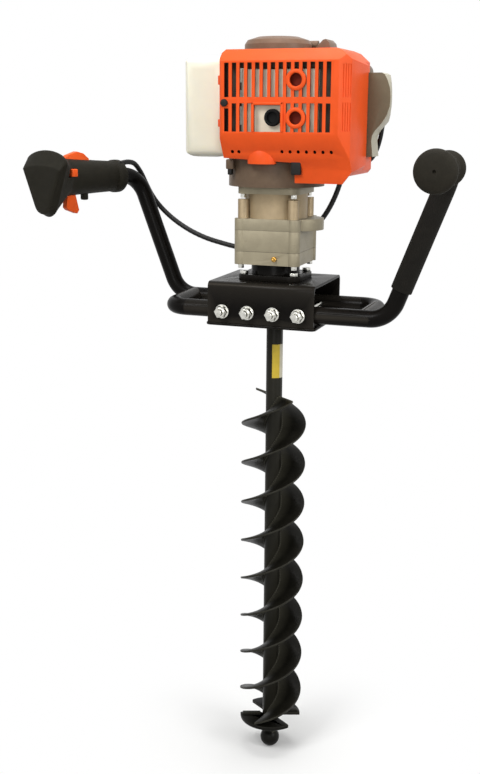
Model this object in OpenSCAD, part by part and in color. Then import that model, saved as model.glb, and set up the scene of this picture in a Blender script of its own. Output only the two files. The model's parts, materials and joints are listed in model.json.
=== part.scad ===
// Hand-held petrol earth auger: spiral bit, clamp bracket with two bent handles,
// two-stage reduction gearbox and an upright two-stroke engine.
// Frame: the origin is the lowest point of the tip, on the drive axis. +Z is up, -Y is the muffler side.

/* [Auger bit] */
// Diameter over the spiral flight
flight_d = 100; // [70:1:150]
// Rise of each flight in one turn
flight_pitch = 128.8; // [100:0.2:180]
// Number of flights, evenly spaced round the tube
flight_starts = 2; // [1:1:2]
// Thickness of the flight plate
flight_t = 4; // [2:0.5:6]
// Height of the top end of the flight
flight_top = 599; // [450:1:640]
// Outside diameter of the auger tube
tube_d = 25; // [24:0.5:28]
// Diameter of the drive shaft inside the tube
shaft_d = 20; // [16:0.5:20]
// Diameter of the ball on the tip
ball_d = 31; // [24:1:40]
// Height of the cutter blades above the tip
cutter_z0 = 54; // [50:1:70]
// Thickness of the cutter blades
cutter_t = 6; // [4:0.5:9]
// Arc that each cutter blade covers, in degrees
cutter_arc = 126; // [80:1:150]
// Diameter of the cross pin that drives the bit
pin_d = 8; // [6:0.5:9]

/* [Bracket] */
// Height of the bracket's underside above the tip
bit_reach = 719; // [690:1:760]
// Width of the bracket, left to right
box_w = 162; // [150:1:190]
// Depth of the bracket, front to back
box_d = 144; // [136:1:170]
// Height of the folded channel
box_h = 60; // [54:1:76]
// Thickness of the folded sheet
sheet_t = 4; // [3:0.5:5]
// Thread diameter of the clamp bolts
clamp_bolt_d = 10; // [8:0.5:11]
// Distance between neighbouring clamp bolts
clamp_pitch = 38.6; // [37:0.2:42]

/* [Handles] */
// Diameter of the handle tube
bar_d = 25; // [22:0.5:28]
// Wall of the handle tube
bar_wall = 2; // [1.5:0.5:3]
// Distance from the drive axis to the foot of the right arm
right_base_x = 186; // [175:1:210]
// Distance from the drive axis to the foot of the left arm
left_base_x = 179.5; // [175:0.5:210]
// Distance from the drive axis to the crossing tube of the base loops
loop_reach = 150; // [145:1:165]
// Lean of the arms from upright, in degrees
arm_lean = 20.5324; // [15:0.0001:28]
// Height of the right grip above the base loop
right_rise = 213; // [190:1:230]
// Height of the throttle grip above the base loop
left_rise = 186.5; // [180:0.5:230]
// Bend between the left arm and the throttle grip, in degrees
left_bend = 83.5097; // [82:0.0001:90]
// Diameter of the right grip's end disc
grip_disc_d = 56; // [50:1:70]
// Diameter of the throttle grip's collar
collar_d = 50; // [46:1:54]

/* [Gearbox] */
// Width of the square gear case
case_w = 100; // [98:1:112]
// Height of the lower gear case
lower_h = 19; // [18.5:0.5:26]
// Height of the middle gear case
middle_h = 31; // [30:0.5:40]
// Height of the upper gear case
upper_h = 16.5; // [16:0.5:24]
// Height of the clutch neck above the gear case
neck_h = 35.5; // [30:0.5:44]
// Height of the flange under the engine
flange_h = 10.5; // [8:0.5:16]
// Gear module
gear_m = 1.25; // [1.1:0.05:1.3]
// Teeth on each pinion
pinion_z = 10; // [10:1:12]
// Teeth on each large gear
wheel_z = 44; // [40:2:44]
// Outside diameter of the clutch drum
drum_d = 79; // [70:1:80]

/* [Engine] */
// Diameter of the fan case
fan_case_d = 140; // [134:1:150]
// Height of the fan case
fan_case_h = 38.5; // [36:0.5:46]
// Height of the crankcase
crankcase_h = 130; // [128:1:140]
// Height of the recoil starter
recoil_h = 40.5; // [38:0.5:46]
// Diameter of the recoil starter
recoil_d = 96; // [92:1:100]
// Cylinder bore
bore_d = 44; // [40:1:46]
// Piston stroke
stroke = 34; // [30:1:36]
// Length of the connecting rod between its pins
rod_l = 62; // [60:1:64]
// Wall of the cowl
cowl_t = 3; // [2:0.5:4]
// Number of slot columns in the cowl's grille
slot_count = 14; // [10:1:15]
// Width of the fuel tank
tank_w = 66; // [55:1:72]
// Depth of the fuel tank
tank_d = 120; // [100:1:130]
// Height of the fuel tank
tank_h = 140; // [120:1:145]
// Wall of the fuel tank
tank_wall = 3; // [2:0.5:4]
// Travel of the starter pulley's rope groove, as a radius
rope_groove_r = 26; // [24:0.5:28]

/* [Fits] */
// Radial clearance of a running fit
run_fit = 0.05; // [0.02:0.01:0.1]
// Radial clearance of a bolt in its hole
bolt_fit = 0.2; // [0.1:0.05:0.4]
// Gap between parts that only sit side by side
side_gap = 0.3; // [0.2:0.05:0.5]

/* [Hidden] */
$fn = 64;
eps = 1;

// Colours
black_paint = [0.07, 0.065, 0.06];
grip_black = [0.18, 0.17, 0.15];
orange = [0.93, 0.36, 0.16];
cast_alloy = [0.66, 0.61, 0.52];
gray_brown = [0.43, 0.38, 0.34];
zinc = [0.75, 0.75, 0.72];
steel = [0.6, 0.6, 0.6];
brass = [0.8, 0.6, 0.25];
cream = [0.92, 0.91, 0.83];
dark = [0.12, 0.12, 0.12];

// Levels along the drive axis
plate_t = sheet_t;
box_z0 = bit_reach + plate_t;
box_z1 = box_z0 + box_h;
foot_flange_t = 8;
foot_neck_h = 16;
foot_z1 = box_z1 + foot_flange_t;
lower_z0 = foot_z1 + foot_neck_h;
middle_z0 = lower_z0 + lower_h;
upper_z0 = middle_z0 + middle_h;
neck_z0 = upper_z0 + upper_h;
flange_z0 = neck_z0 + neck_h;
fan_z0 = flange_z0 + flange_h;
crankcase_z0 = fan_z0 + fan_case_h;
recoil_z0 = crankcase_z0 + crankcase_h;
cyl_z = crankcase_z0 + 82;

// Auger bit
tube_r = tube_d / 2;
shaft_r = shaft_d / 2;
tube_bore_r = shaft_r + 2 * run_fit;
tip_neck_r = 9;
tip_neck_top = ball_d + 5;
tube_top = box_z1 - 15;
pin_z = tube_top - 9;
pin_l = tube_d + 9;
flight_z0 = cutter_z0 + cutter_t + side_gap;
flight_steps_per_turn = 48;
flight_end_angle = -37;
cutter_lead_angle = 200;
cutter_lip = 9;
weld_gap = 0.12;

// Bracket and handles
bolt_r = clamp_bolt_d / 2;
bolt_x = [-1.5 * clamp_pitch, -0.5 * clamp_pitch, 0.5 * clamp_pitch, 1.5 * clamp_pitch];
bend_r = 8;
bar_r = bar_d / 2;
leg_y = box_d / 2 - sheet_t - bar_r - side_gap;
leg_z = box_z0 + 17;
leg_end_x = 0.5 * clamp_pitch - 11;
washer_t = 2;
nut_h = 8;
nut_r = 0.93 * clamp_bolt_d;
thread_end = 8;
arm_bend_r = 40;
loop_bend_r = 30;
grip_bend_r = 36;
right_bar_l = 131;
left_bar_l = 104;
left_splay = asin(cos(left_bend) / sin(arm_lean));
// A hair of roll that lets the left handle's bends meet exactly
roll_trim = 0.01831;
sleeve_t = 2.8;
sleeve_start = 46;

// Throttle grip, along its own axis from the handle's last bend
grip_x0 = 45;
grip_split_gap = 0.1;
cut_far = 300;
trigger_pivot = [146, -6];
lock_pivot = [158, 14];
trigger_half_t = 4.5;
pivot_r = 2.5;

// Gear train
pressure_angle = 25;
addendum = 0.8;
dedendum = 1.1;
backlash = 0.16;
gear_offset = gear_m * (pinion_z + wheel_z) / 2;
drum_r = drum_d / 2;
drum_wall = 1.5;
neck_r = drum_r + 6.5;
neck_bore_r = drum_r + 1.5;
wheel_tip_r = gear_m * (wheel_z / 2 + addendum);
pinion_tip_r = gear_m * (pinion_z / 2 + addendum);
case_r = case_w / 2;
case_corner_r = 9.5;
case_inset = 2;
nipple_x = 13;
nipple_y = -case_r + case_inset;
ear_r = wheel_tip_r + 1.5 + 8;
foot_bolt_x = 38;
foot_bolt_y = 33;
case_bolt_xy = case_r - case_corner_r;
flange_bolt_xy = neck_r - 8;
pillar_r = 8;
m6_r = 3;
m6_head_r = 4.7;
out_bearing_r = shaft_r + 6;
out_bearing_h = 12;
drum_shaft_r = 8;
drum_bearing_r = 13;
drum_bearing_h = 10;
idler_pin_r = 4;
wheel_t = 10;
wheel2_t = 14;
wheel2_z0 = middle_z0 + 6;
wheel1_z0 = upper_z0 + 2;
drum_floor_t = 4;
roof_z0 = wheel1_z0 + wheel_t + 1.5;
drum_floor_z0 = roof_z0 + drum_bearing_h + 2.5;

// Engine
fan_r = fan_case_d / 2;
fan_wall = 3;
fan_inner_r = fan_r - fan_wall;
flywheel_r = 55;
coil_r = fan_inner_r - 2.2;
lead_hole_z = fan_z0 + 25.5;
crank_r = stroke / 2;
chamber_r = 36;
case_outer_r = 40;
web_t = 10;
web_gap = 24;
crank_shaft_r = 7.5;
crank_bearing_r = 16;
crank_bearing_h = 10;
bore_r = bore_d / 2;
piston_pin_x = rod_l + crank_r;
piston_crown_x = piston_pin_x + 14;
head_x0 = piston_crown_x + 2;
head_x1 = head_x0 + 19;
cyl_base_x = case_outer_r + 4;
fin_half_y = 36;
fin_half_z = 40;
fin_pitch = 7;
fin_t = 3;
port_x0 = cyl_base_x + 16;
port_x1 = port_x0 + 22;
port_half_z = 12;
port_y = 46;

// Cowl
cowl_x0 = -54;
cowl_x1 = 131;
cowl_lip = 6;
cowl_y0 = -97;
cowl_y1 = 40;
face_x1 = 116;
corner_cut = 14;
roof_x1 = 108;
roof_y1 = 14;
cowl_top = recoil_z0 + 19;
cowl_low = fan_z0 + 8;
grille_z0 = cyl_z - 43;
grille_z1 = cyl_z + 48.5;
grille_mid = cyl_z - 1;
grille_bar = 8.4;
grille_x0 = -48.5;
grille_x1 = 107.7;
slot_pitch = (grille_x1 - grille_x0) / slot_count;
slot_w = 0.57 * slot_pitch;
boss_x = 56.7;
boss_z = [cyl_z + 25.6, cyl_z - 24.4];
boss_r = 14;
boss_hole_r = 8.6;
window_x0 = -2.5;
window_x1 = 35.5;
window_z1 = grille_mid - grille_bar / 2 - 2.5;
outlet_x = 22.5;
outlet_z = cyl_z - 24;
screw_head_r = 5;
screw_room = 7.5;
cowl_screw_x = -45.6;
cowl_screw_z = cyl_z - 4.5;
head_screw_y = 5;
head_screw_z = cyl_z + 26;

// Plug cover
cover_x0 = cowl_x1 + side_gap;
cover_y0 = -16;
cover_y1 = 22;
cover_t = 2.5;
cover_lead_r = 5.5;

// Fuel tank
tank_x1 = -62;
tank_y0 = -52;
tank_z0 = crankcase_z0 + 2;
tank_round = 18;
cap_x = tank_x1 - tank_w / 2;
cap_z = tank_z0 + tank_h - 34;
cap_neck_r = 15;
cap_r = 19;

// Starter
rope_r = 2;
rope_z = recoil_z0 + 29;
rope_out_x = recoil_d / 2 + 4;
rope_in_handle = 6;
pulley_half_t = 6;
post_r = 5;

// Intake side
carb_x0 = 52;
carb_x1 = 90;
carb_y0 = 54;
carb_y1 = 86;
throttle_shaft = [71, 64];
choke_shaft = [71, 78];
arm_shaft_r = 3;
stop_plate_z = cyl_z - 36;
cable_stop = [84, 76];
filter_x0 = 26;
filter_x1 = 112;
filter_z0 = cyl_z - 55;
filter_z1 = cyl_z + 55;
filter_depth = 44;

// Throttle cable: route points from the throttle grip's collar to the carburettor's cable stop
cable_r = 4;
cable_lift = 18.5;
collar_back = [-left_base_x - left_rise * tan(arm_lean), leg_y, leg_z + left_rise + cable_lift]
    + (grip_x0 - 2 * side_gap) * [-sin(left_splay), -cos(left_splay), 0];
cable_end = [cable_stop[0], cable_stop[1], stop_plate_z - side_gap];
cable_points = [[-263.5, 12.6, 945], [-260.5, 21, 946], [-256, 35, 947], [-252, 49, 943.5], [-248, 62, 930.5],
    [-243, 70, 913.5], [-236, 74, 897], [-225, 76, 881], [-210, 77, 866], [-191, 77, 852], [-168, 76, 839.5],
    [-142, 74.5, 829.5], [-115.5, 72.5, 823], [-88.5, 71, 818], [-60.5, 70, 817], [-33, 69, 819], [-6, 69, 825],
    [18, 69, 836], [38, 70, 852], [54, 70.5, 871], [66, 71, 892], [75, 72, 915], [81, 74, 940],
    [84, 76, 968], [84, 76, 988], [84, 76, 1004]];

// Ignition lead: route points from the plug boot to the coil
lead_r = 3.2;
boot_end = [head_x1 + 32, 18, cyl_z];
coil_end = [(coil_r + side_gap) * cos(45), (coil_r + side_gap) * cos(45), lead_hole_z];
lead_points = [[146, 18, 1040], [146, 24, 1039.5], [146.5, 30, 1035], [147.5, 33, 1024], [148, 33.5, 1011],
    [146.5, 34, 998], [143.5, 36, 984], [138, 41, 970], [130, 49, 959], [119, 56, 952], [105, 61, 948],
    [88, 63, 946], [73, 62, 945], [61, 57.5, 945], [52.5, 52, 945], [46, 46, 945]];

// A route whose two ends follow the parts they join
function joined(p, a, b) = let (n = len(p) - 1)
    [for (i = [0:n]) p[i] + (1 - i / n) * (a - p[0]) + i / n * (b - p[n])];
cable_route = joined(cable_points, collar_back, cable_end);
lead_route = joined(lead_points, boot_end, coil_end);

function unit(v) = v / norm(v);
function polar(r, a) = [r * cos(a), r * sin(a)];
function lift(p, z) = [p[0], p[1], z];
function arc(c, r, a0, a1, n = 6) = [for (i = [0:n]) c + polar(r, a0 + (a1 - a0) * i / n)];
function rounded(x0, x1, y0, y1, r) = concat(
    arc([x1 - r, y1 - r], r, 0, 90), arc([x0 + r, y1 - r], r, 90, 180),
    arc([x0 + r, y0 + r], r, 180, 270), arc([x1 - r, y0 + r], r, 270, 360));

module xcyl(r, x0, x1, y, z) translate([x0, y, z]) rotate([0, 90, 0]) cylinder(r = r, h = x1 - x0);
module ycyl(r, y0, y1, x, z) translate([x, y0, z]) rotate([-90, 0, 0]) cylinder(r = r, h = y1 - y0);
module zcyl(r, z0, z1, x = 0, y = 0) translate([x, y, z0]) cylinder(r = r, h = z1 - z0);
module zring(ro, ri, z0, z1, x = 0, y = 0) {
    difference() {
        zcyl(ro, z0, z1, x, y);
        zcyl(ri, z0 - eps, z1 + eps, x, y);
    }
}
module block(x0, x1, y0, y1, z0, z1) translate([x0, y0, z0]) cube([x1 - x0, y1 - y0, z1 - z0]);
module zplate(points, z0, z1) translate([0, 0, z0]) linear_extrude(z1 - z0) polygon(points);
module yplate(points, y0, y1) translate([0, y1, 0]) rotate([90, 0, 0]) linear_extrude(y1 - y0) polygon(points);
module xplate(points, x0, x1) translate([x0, 0, 0]) rotate([90, 0, 90]) linear_extrude(x1 - x0) polygon(points);
module hex(r, h) cylinder(r = r, h = h, $fn = 6);

// A tube along a bent path, step by step: [length, bend radius, bend angle, roll before the bend]
module ring(r, bore) difference() {
    circle(r = r);
    if (bore > 0) circle(r = bore);
}
module bent_tube(steps, r, bore, i = 0) {
    l = steps[i][0];
    linear_extrude(l) ring(r, bore);
    if (i < len(steps) - 1) {
        bend = steps[i][1];
        angle = steps[i][2];
        translate([0, 0, l]) rotate([0, 0, steps[i][3]]) translate([bend, 0, 0]) {
            rotate([90, 0, 0]) rotate([0, 0, 180 - angle]) rotate_extrude(angle = angle)
                translate([bend, 0]) ring(r, bore);
            rotate([0, angle, 0]) translate([-bend, 0, 0]) bent_tube(steps, r, bore, i + 1);
        }
    }
}

// A cord swept along hand-chosen points
function tangents(p) = [for (i = [0:len(p) - 1])
    unit(p[min(i + 1, len(p) - 1)] - p[max(i - 1, 0)])];
function carried(t, i, n) = i == len(t) ? [] :
    let (m = unit(n - (n * t[i]) * t[i])) concat([m], carried(t, i + 1, m));
module cord(p, r, sides) {
    t = tangents(p);
    n = carried(t, 0, [0.1, 0.2, 1]);
    rings = [for (i = [0:len(p) - 1]) for (k = [0:sides - 1])
        p[i] + r * (cos(360 * k / sides) * n[i] + sin(360 * k / sides) * cross(t[i], n[i]))];
    walls = [for (i = [0:len(p) - 2]) for (k = [0:sides - 1])
        let (a = i * sides + k, b = i * sides + (k + 1) % sides)
        each [[a, a + sides, b], [b, a + sides, b + sides]]];
    last = (len(p) - 1) * sides;
    caps = [[for (k = [0:sides - 1]) k], [for (k = [sides - 1:-1:0]) last + k]];
    polyhedron(rings, concat(walls, caps), 6);
}

// Involute gear outline; a tooth points along +X
function involute(a) = tan(a) * 180 / PI - a;
function tooth_half(r, z) =
    let (rp = gear_m * z / 2, rb = rp * cos(pressure_angle))
    90 / z - backlash / 2 / rp * 180 / PI + involute(pressure_angle) - involute(acos(min(1, rb / r)));
function gear_outline(z) =
    let (rp = gear_m * z / 2, rf = rp - dedendum * gear_m, ra = rp + addendum * gear_m,
        r0 = max(rp * cos(pressure_angle), rf))
    [for (k = [0:z - 1]) for (s = [-1, 1]) for (i = [0:4])
        let (j = s < 0 ? i : 4 - i, rr = r0 + (ra - r0) * max(0, j - 1) / 3)
        polar(j == 0 ? rf : rr, 360 * k / z + s * tooth_half(rr, z))];

// Bracket
function channel(d, z0, z1, r) = concat([[d / 2, z0]], arc([d / 2 - r, z1 - r], r, 0, 90),
    arc([r - d / 2, z1 - r], r, 90, 180), [[-d / 2, z0]]);
module clamp_holes(r) for (x = bolt_x) ycyl(r, -box_d, box_d, x, leg_z);
module at_foot_bolts() for (x = [-1, 1], y = [-1, 1]) translate([x * foot_bolt_x, y * foot_bolt_y, 0]) children();

module bracket_channel() color(black_paint) difference() {
    xplate(channel(box_d, box_z0, box_z1, bend_r), -box_w / 2, box_w / 2);
    xplate(channel(box_d - 2 * sheet_t, box_z0 - eps, box_z1 - sheet_t, bend_r - sheet_t),
        -box_w / 2 - eps, box_w / 2 + eps);
    zcyl(tube_r + 3, box_z1 - sheet_t - eps, box_z1 + eps);
    clamp_holes(bolt_r + bolt_fit);
    at_foot_bolts() zcyl(m6_r + 1 + bolt_fit, box_z1 - sheet_t - eps, box_z1 + eps);
}

module bracket_plate() color(black_paint) difference() {
    zplate(rounded(-box_w / 2 - 3, box_w / 2 + 3, -box_d / 2 - 3, box_d / 2 + 3, bend_r), bit_reach, box_z0);
    zcyl(tube_r + 4, bit_reach - eps, box_z0 + eps);
}

module clamp_bolts() color(zinc) for (x = bolt_x) {
    ycyl(bolt_r, -box_d / 2 - washer_t - nut_h - thread_end, box_d / 2, x, leg_z);
    translate([x, box_d / 2, leg_z]) rotate([-90, 0, 0]) hex(nut_r, nut_h - 1);
}

module clamp_nuts() color(zinc) for (x = bolt_x) {
    translate([x, -box_d / 2 - washer_t, leg_z]) rotate([90, 0, 0]) difference() {
        hex(nut_r, nut_h);
        translate([0, 0, -eps]) cylinder(r = bolt_r + run_fit, h = nut_h + 2 * eps);
    }
    difference() {
        ycyl(nut_r + 1, -box_d / 2 - washer_t, -box_d / 2, x, leg_z);
        ycyl(bolt_r + bolt_fit, -box_d, box_d, x, leg_z);
    }
}

// Handles: one leg bends up into the arm and on into the grip, the other leg turns to meet it.
// side is 1 for the right handle and -1 for the left; the right arm rises from the front leg.
arm_turn = 90 - arm_lean;
arm_setback = arm_bend_r * tan(arm_turn / 2);
function arm_corner(side, base, rise) = [side * (base + rise * tan(arm_lean)), -side * leg_y, leg_z + rise];
function grip_roll(splay) = atan2(cos(splay), -cos(arm_lean) * sin(splay));
function arm_steps(side, base, rise, turn, roll, l) = let (back = grip_bend_r * tan(turn / 2)) [
    [base - leg_end_x - arm_setback, arm_bend_r, arm_turn, 90 + 90 * side],
    [rise / cos(arm_lean) - arm_setback - back, grip_bend_r, turn, side * roll],
    [l - back]];
module handle(side, base, rise, turn, roll, l) {
    arm = arm_steps(side, base, rise, turn, roll, l);
    bore_r = bar_r - bar_wall;
    module at_leg(y) translate([side * leg_end_x, y, leg_z]) rotate([0, 90 * side, 0]) children();
    difference() {
        at_leg(-side * leg_y) bent_tube(arm, bar_r, bore_r);
        clamp_holes(bolt_r + bolt_fit);
    }
    difference() {
        at_leg(side * leg_y) bent_tube([[loop_reach - loop_bend_r - leg_end_x, loop_bend_r, 90, -90 * side],
            [2 * leg_y - loop_bend_r]], bar_r, bore_r);
        at_leg(-side * leg_y) bent_tube([arm[0], [1]], bar_r + weld_gap, 0);
        clamp_holes(bolt_r + bolt_fit);
    }
}
module left_handle() color(black_paint)
    handle(-1, left_base_x, left_rise, left_bend, grip_roll(left_splay) - roll_trim, left_bar_l);
module right_handle() color(black_paint) handle(1, right_base_x, right_rise, 90, grip_roll(0), right_bar_l);

grip_flange_x = grip_bend_r + 4;
module arm_sleeve() color(grip_black) {
    lean = [sin(arm_lean), 0, cos(arm_lean)];
    start = [right_base_x, -leg_y, leg_z] + sleeve_start * lean;
    steps = [[right_rise / cos(arm_lean) - sleeve_start - grip_bend_r, grip_bend_r, 90, 90], [4 - side_gap]];
    translate(start) rotate([0, arm_lean, 0]) rotate([0, 0, 180])
        bent_tube(steps, bar_r + sleeve_t, bar_r + 3 * run_fit);
}

module right_grip() color(grip_black) {
    r0 = bar_r + 2 * run_fit;
    body_r = bar_r + 5;
    flange_r = bar_r + 11;
    disc_r = grip_disc_d / 2;
    a = grip_flange_x;
    b = right_bar_l;
    translate(arm_corner(1, right_base_x, right_rise)) rotate([90, 0, 0]) rotate_extrude() polygon([[r0, a],
        [flange_r - 2, a], [flange_r, a + 2], [flange_r, a + 5], [flange_r - 3, a + 8], [body_r, a + 13],
        [body_r + 1, (a + b) / 2], [body_r, b - 12], [body_r + 4, b - 4], [disc_r - 1, b], [disc_r, b + 3],
        [disc_r - 1, b + 7], [disc_r - 7, b + 11], [disc_r / 2, b + 13], [0, b + 14], [0, b + side_gap],
        [r0, b + side_gap]]);
}

// Throttle grip, in its own frame: +X along the grip, +Z up
left_corner = arm_corner(-1, left_base_x, left_rise);
module in_grip() translate(left_corner) rotate([0, 0, 270 - left_splay]) children();
module oval(x, w, h, cz) translate([x, 0, cz]) rotate([0, 90, 0]) scale([h / 2, w / 2, 1])
    cylinder(r = 1, h = 2, $fn = 32);
module guard_ovals(x, k) {
    oval(x, 86 * k, 54 * k, 14);
    oval(x, 40 * k, 40 * k, -34);
}
module grip_form() {
    xcyl(collar_d / 2, grip_x0, grip_x0 + 14, 0, 0);
    hull() {
        oval(grip_x0 + 10, 40, 46, 0);
        oval(grip_x0 + 113, 43, 56, 2);
    }
    hull() {
        oval(grip_x0 + 106, 43, 55, 2);
        guard_ovals(grip_x0 + 144, 1);
    }
    hull() {
        guard_ovals(grip_x0 + 144, 1);
        guard_ovals(grip_x0 + 156, 0.86);
    }
}
module grip_cavities() {
    xcyl(bar_r + 2 * run_fit, grip_x0 - eps, left_bar_l + side_gap, 0, 0);
    block(left_bar_l, 170, -8, 8, -18, 16);
    block(125, 163, -trigger_half_t - 0.5, trigger_half_t + 0.5, -60, -17);
    block(105, 168, -trigger_half_t - 0.5, trigger_half_t + 0.5, 15, 60);
    block(151, 177, 13, 60, 3.5, 15.5);
    for (p = [trigger_pivot, lock_pivot]) ycyl(pivot_r, -13, 13, p[0], p[1]);
    ycyl(2, -40, 40, grip_x0 + 7, 18.5);
    ycyl(4.2, 13, 60, grip_x0 + 7, 18.5);
}
module throttle_grip_outer() color(grip_black) in_grip() difference() {
    grip_form();
    grip_cavities();
    block(0, cut_far, -cut_far, grip_split_gap, -cut_far, cut_far);
}
module throttle_grip_inner() color(grip_black) in_grip() difference() {
    grip_form();
    grip_cavities();
    block(0, cut_far, 0, cut_far, -cut_far, cut_far);
}
module trigger_pins() color(steel) in_grip()
    for (p = [trigger_pivot, lock_pivot]) ycyl(pivot_r - run_fit, -12.5, 12.5, p[0], p[1]);
module throttle_trigger() color(orange) in_grip() difference() {
    yplate([[140, 0], [152, 0], [155, -20], [158, -42], [154, -46], [137, -52], [133, -47], [140, -22]],
        -trigger_half_t, trigger_half_t);
    ycyl(pivot_r, -20, 20, trigger_pivot[0], trigger_pivot[1]);
}
module throttle_lock() color(orange) in_grip() difference() {
    yplate([[164, 12], [164, 27], [152, 34], [134, 39], [121, 36], [110, 28], [110, 20], [150, 20],
        [154, 9], [161, 9]], -trigger_half_t, trigger_half_t);
    ycyl(pivot_r, -20, 20, lock_pivot[0], lock_pivot[1]);
}
module stop_switch() color(orange) in_grip() block(156, 167, 13.3, 29, 4, 15);

// Gearbox
module case_bolt_holes(z0, z1) for (x = [-1, 1], y = [-1, 1])
    zcyl(m6_r + bolt_fit, z0, z1, x * case_bolt_xy, y * case_bolt_xy);

module gearbox_foot() color(black_paint) difference() {
    union() {
        zplate(rounded(-foot_bolt_x - 10, foot_bolt_x + 10, -foot_bolt_y - 10, foot_bolt_y + 10, 18),
            box_z1, foot_z1);
        zcyl(out_bearing_r + 20, foot_z1 - 0.5, lower_z0);
    }
    zcyl(shaft_r + 2, box_z1 - eps, lower_z0 + eps);
    zcyl(out_bearing_r, lower_z0 - out_bearing_h, lower_z0 + eps);
    at_foot_bolts() zcyl(m6_r + 1 + bolt_fit, box_z1 - eps, lower_z0 + eps);
}

module foot_bolts() color(zinc) at_foot_bolts() {
    zcyl(m6_r + 1, box_z1 - sheet_t - 9, foot_z1);
    translate([0, 0, foot_z1]) hex(6.6, 5);
    translate([0, 0, box_z1 - sheet_t - 6.5]) difference() {
        hex(7, 6.5);
        translate([0, 0, -eps]) cylinder(r = m6_r + 1 + run_fit, h = 9);
    }
}

// Square case with a round column at each corner
module case_block(z0, z1) {
    zplate(rounded(-case_r + case_inset, case_r - case_inset, -case_r + case_inset, case_r - case_inset,
        case_corner_r), z0, z1);
    for (x = [-1, 1], y = [-1, 1]) zcyl(case_corner_r, z0, z1, x * case_bolt_xy, y * case_bolt_xy);
}

module gearcase_lower() color(cast_alloy) difference() {
    case_block(lower_z0, middle_z0);
    zcyl(shaft_r + 2, lower_z0 - eps, middle_z0 + eps);
    zcyl(out_bearing_r, middle_z0 - 5 - out_bearing_h, middle_z0 + eps);
    zcyl(out_bearing_r + 6, middle_z0 - 4, middle_z0 + eps);
    zcyl(idler_pin_r + run_fit, middle_z0 - 10, middle_z0 + eps, gear_offset);
    case_bolt_holes(lower_z0 - eps, middle_z0 + eps);
    ycyl(m6_r, -case_r - eps, nipple_y + 8, nipple_x, lower_z0 + lower_h / 2);
}

module gearcase_middle() color(cast_alloy) difference() {
    case_block(middle_z0, upper_z0);
    zcyl(wheel_tip_r + 2, middle_z0 - eps, upper_z0 + eps);
    zcyl(pinion_tip_r + 1.5, middle_z0 - eps, upper_z0 + eps, gear_offset);
    case_bolt_holes(middle_z0 - eps, upper_z0 + eps);
}

module gearcase_upper() color(cast_alloy) difference() {
    union() {
        case_block(upper_z0, neck_z0);
        zcyl(ear_r, upper_z0, neck_z0, gear_offset);
        zcyl(neck_r, neck_z0 - 0.5, fan_z0);
        for (x = [-1, 1], y = [-1, 1])
            zcyl(pillar_r, neck_z0 - 0.5, flange_z0 - 8, x * flange_bolt_xy, y * flange_bolt_xy);
        zplate(rounded(-neck_r - 1, neck_r + 1, -neck_r - 1, neck_r + 1, 14), flange_z0, fan_z0);
    }
    zcyl(wheel_tip_r + 1.5, upper_z0 - eps, roof_z0, gear_offset);
    zcyl(pinion_tip_r + 1.5, upper_z0 - eps, roof_z0);
    zcyl(drum_shaft_r + 2, roof_z0 - eps, drum_floor_z0);
    zcyl(drum_bearing_r, drum_floor_z0 - 1 - drum_bearing_h, drum_floor_z0);
    zcyl(neck_bore_r, drum_floor_z0 - 1, fan_z0 + eps);
    zcyl(idler_pin_r + run_fit, upper_z0, roof_z0 + 5, gear_offset);
    case_bolt_holes(upper_z0 - eps, neck_z0 - 3);
    for (x = [-1, 1], y = [-1, 1])
        zcyl(m6_r + bolt_fit, flange_z0 - eps, fan_z0 + eps, x * flange_bolt_xy, y * flange_bolt_xy);
}

module gearbox_bolts() color(zinc) for (x = [-1, 1], y = [-1, 1]) {
    zcyl(m6_r, lower_z0, neck_z0 - 4, x * case_bolt_xy, y * case_bolt_xy);
    translate([x * case_bolt_xy, y * case_bolt_xy, lower_z0 - 6]) hex(m6_head_r, 6);
    zcyl(m6_r, flange_z0, fan_z0, x * flange_bolt_xy, y * flange_bolt_xy);
    translate([x * flange_bolt_xy, y * flange_bolt_xy, flange_z0 - 6]) hex(m6_head_r, 6);
}

module grease_nipple() color(brass)
    translate([nipple_x, nipple_y, lower_z0 + lower_h / 2]) rotate([90, 0, 0]) union() {
    translate([0, 0, -7]) cylinder(r = m6_r - run_fit, h = 7);
    hex(4, 3);
    cylinder(r = 2, h = 6);
    translate([0, 0, 6]) sphere(r = 2.4);
}

module clutch_drum() color(steel) {
    zring(drum_r, drum_r - drum_wall, drum_floor_z0, fan_z0 - 6);
    zcyl(drum_r, drum_floor_z0, drum_floor_z0 + drum_floor_t);
    zcyl(drum_shaft_r, wheel1_z0 + wheel_t, drum_floor_z0);
    zplate(gear_outline(pinion_z), wheel1_z0 - 1, wheel1_z0 + wheel_t);
}

module idler_gear() color(steel) translate([gear_offset, 0, 0]) {
    zcyl(idler_pin_r, middle_z0 - 9, roof_z0 + 4);
    zplate(gear_outline(pinion_z), wheel2_z0 - 1, wheel1_z0);
    rotate([0, 0, 180 + 180 / wheel_z]) zplate(gear_outline(wheel_z), wheel1_z0, wheel1_z0 + wheel_t - 1);
}

module output_shaft() color(steel) difference() {
    union() {
        zcyl(shaft_r, tube_top - 31, wheel2_z0 - 2);
        zcyl(shaft_r + 2, middle_z0 - 4.5, wheel2_z0);
        zcyl(shaft_r - 1, wheel2_z0 - 1, wheel2_z0 + wheel2_t + 1);
    }
    xcyl(pin_d / 2 + run_fit, -30, 30, 0, pin_z);
}

module output_gear() color(steel) difference() {
    rotate([0, 0, 180 / wheel_z]) zplate(gear_outline(wheel_z), wheel2_z0, wheel2_z0 + wheel2_t);
    zcyl(shaft_r - 1 + run_fit, wheel2_z0 - eps, wheel2_z0 + wheel2_t + eps);
}

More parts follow.
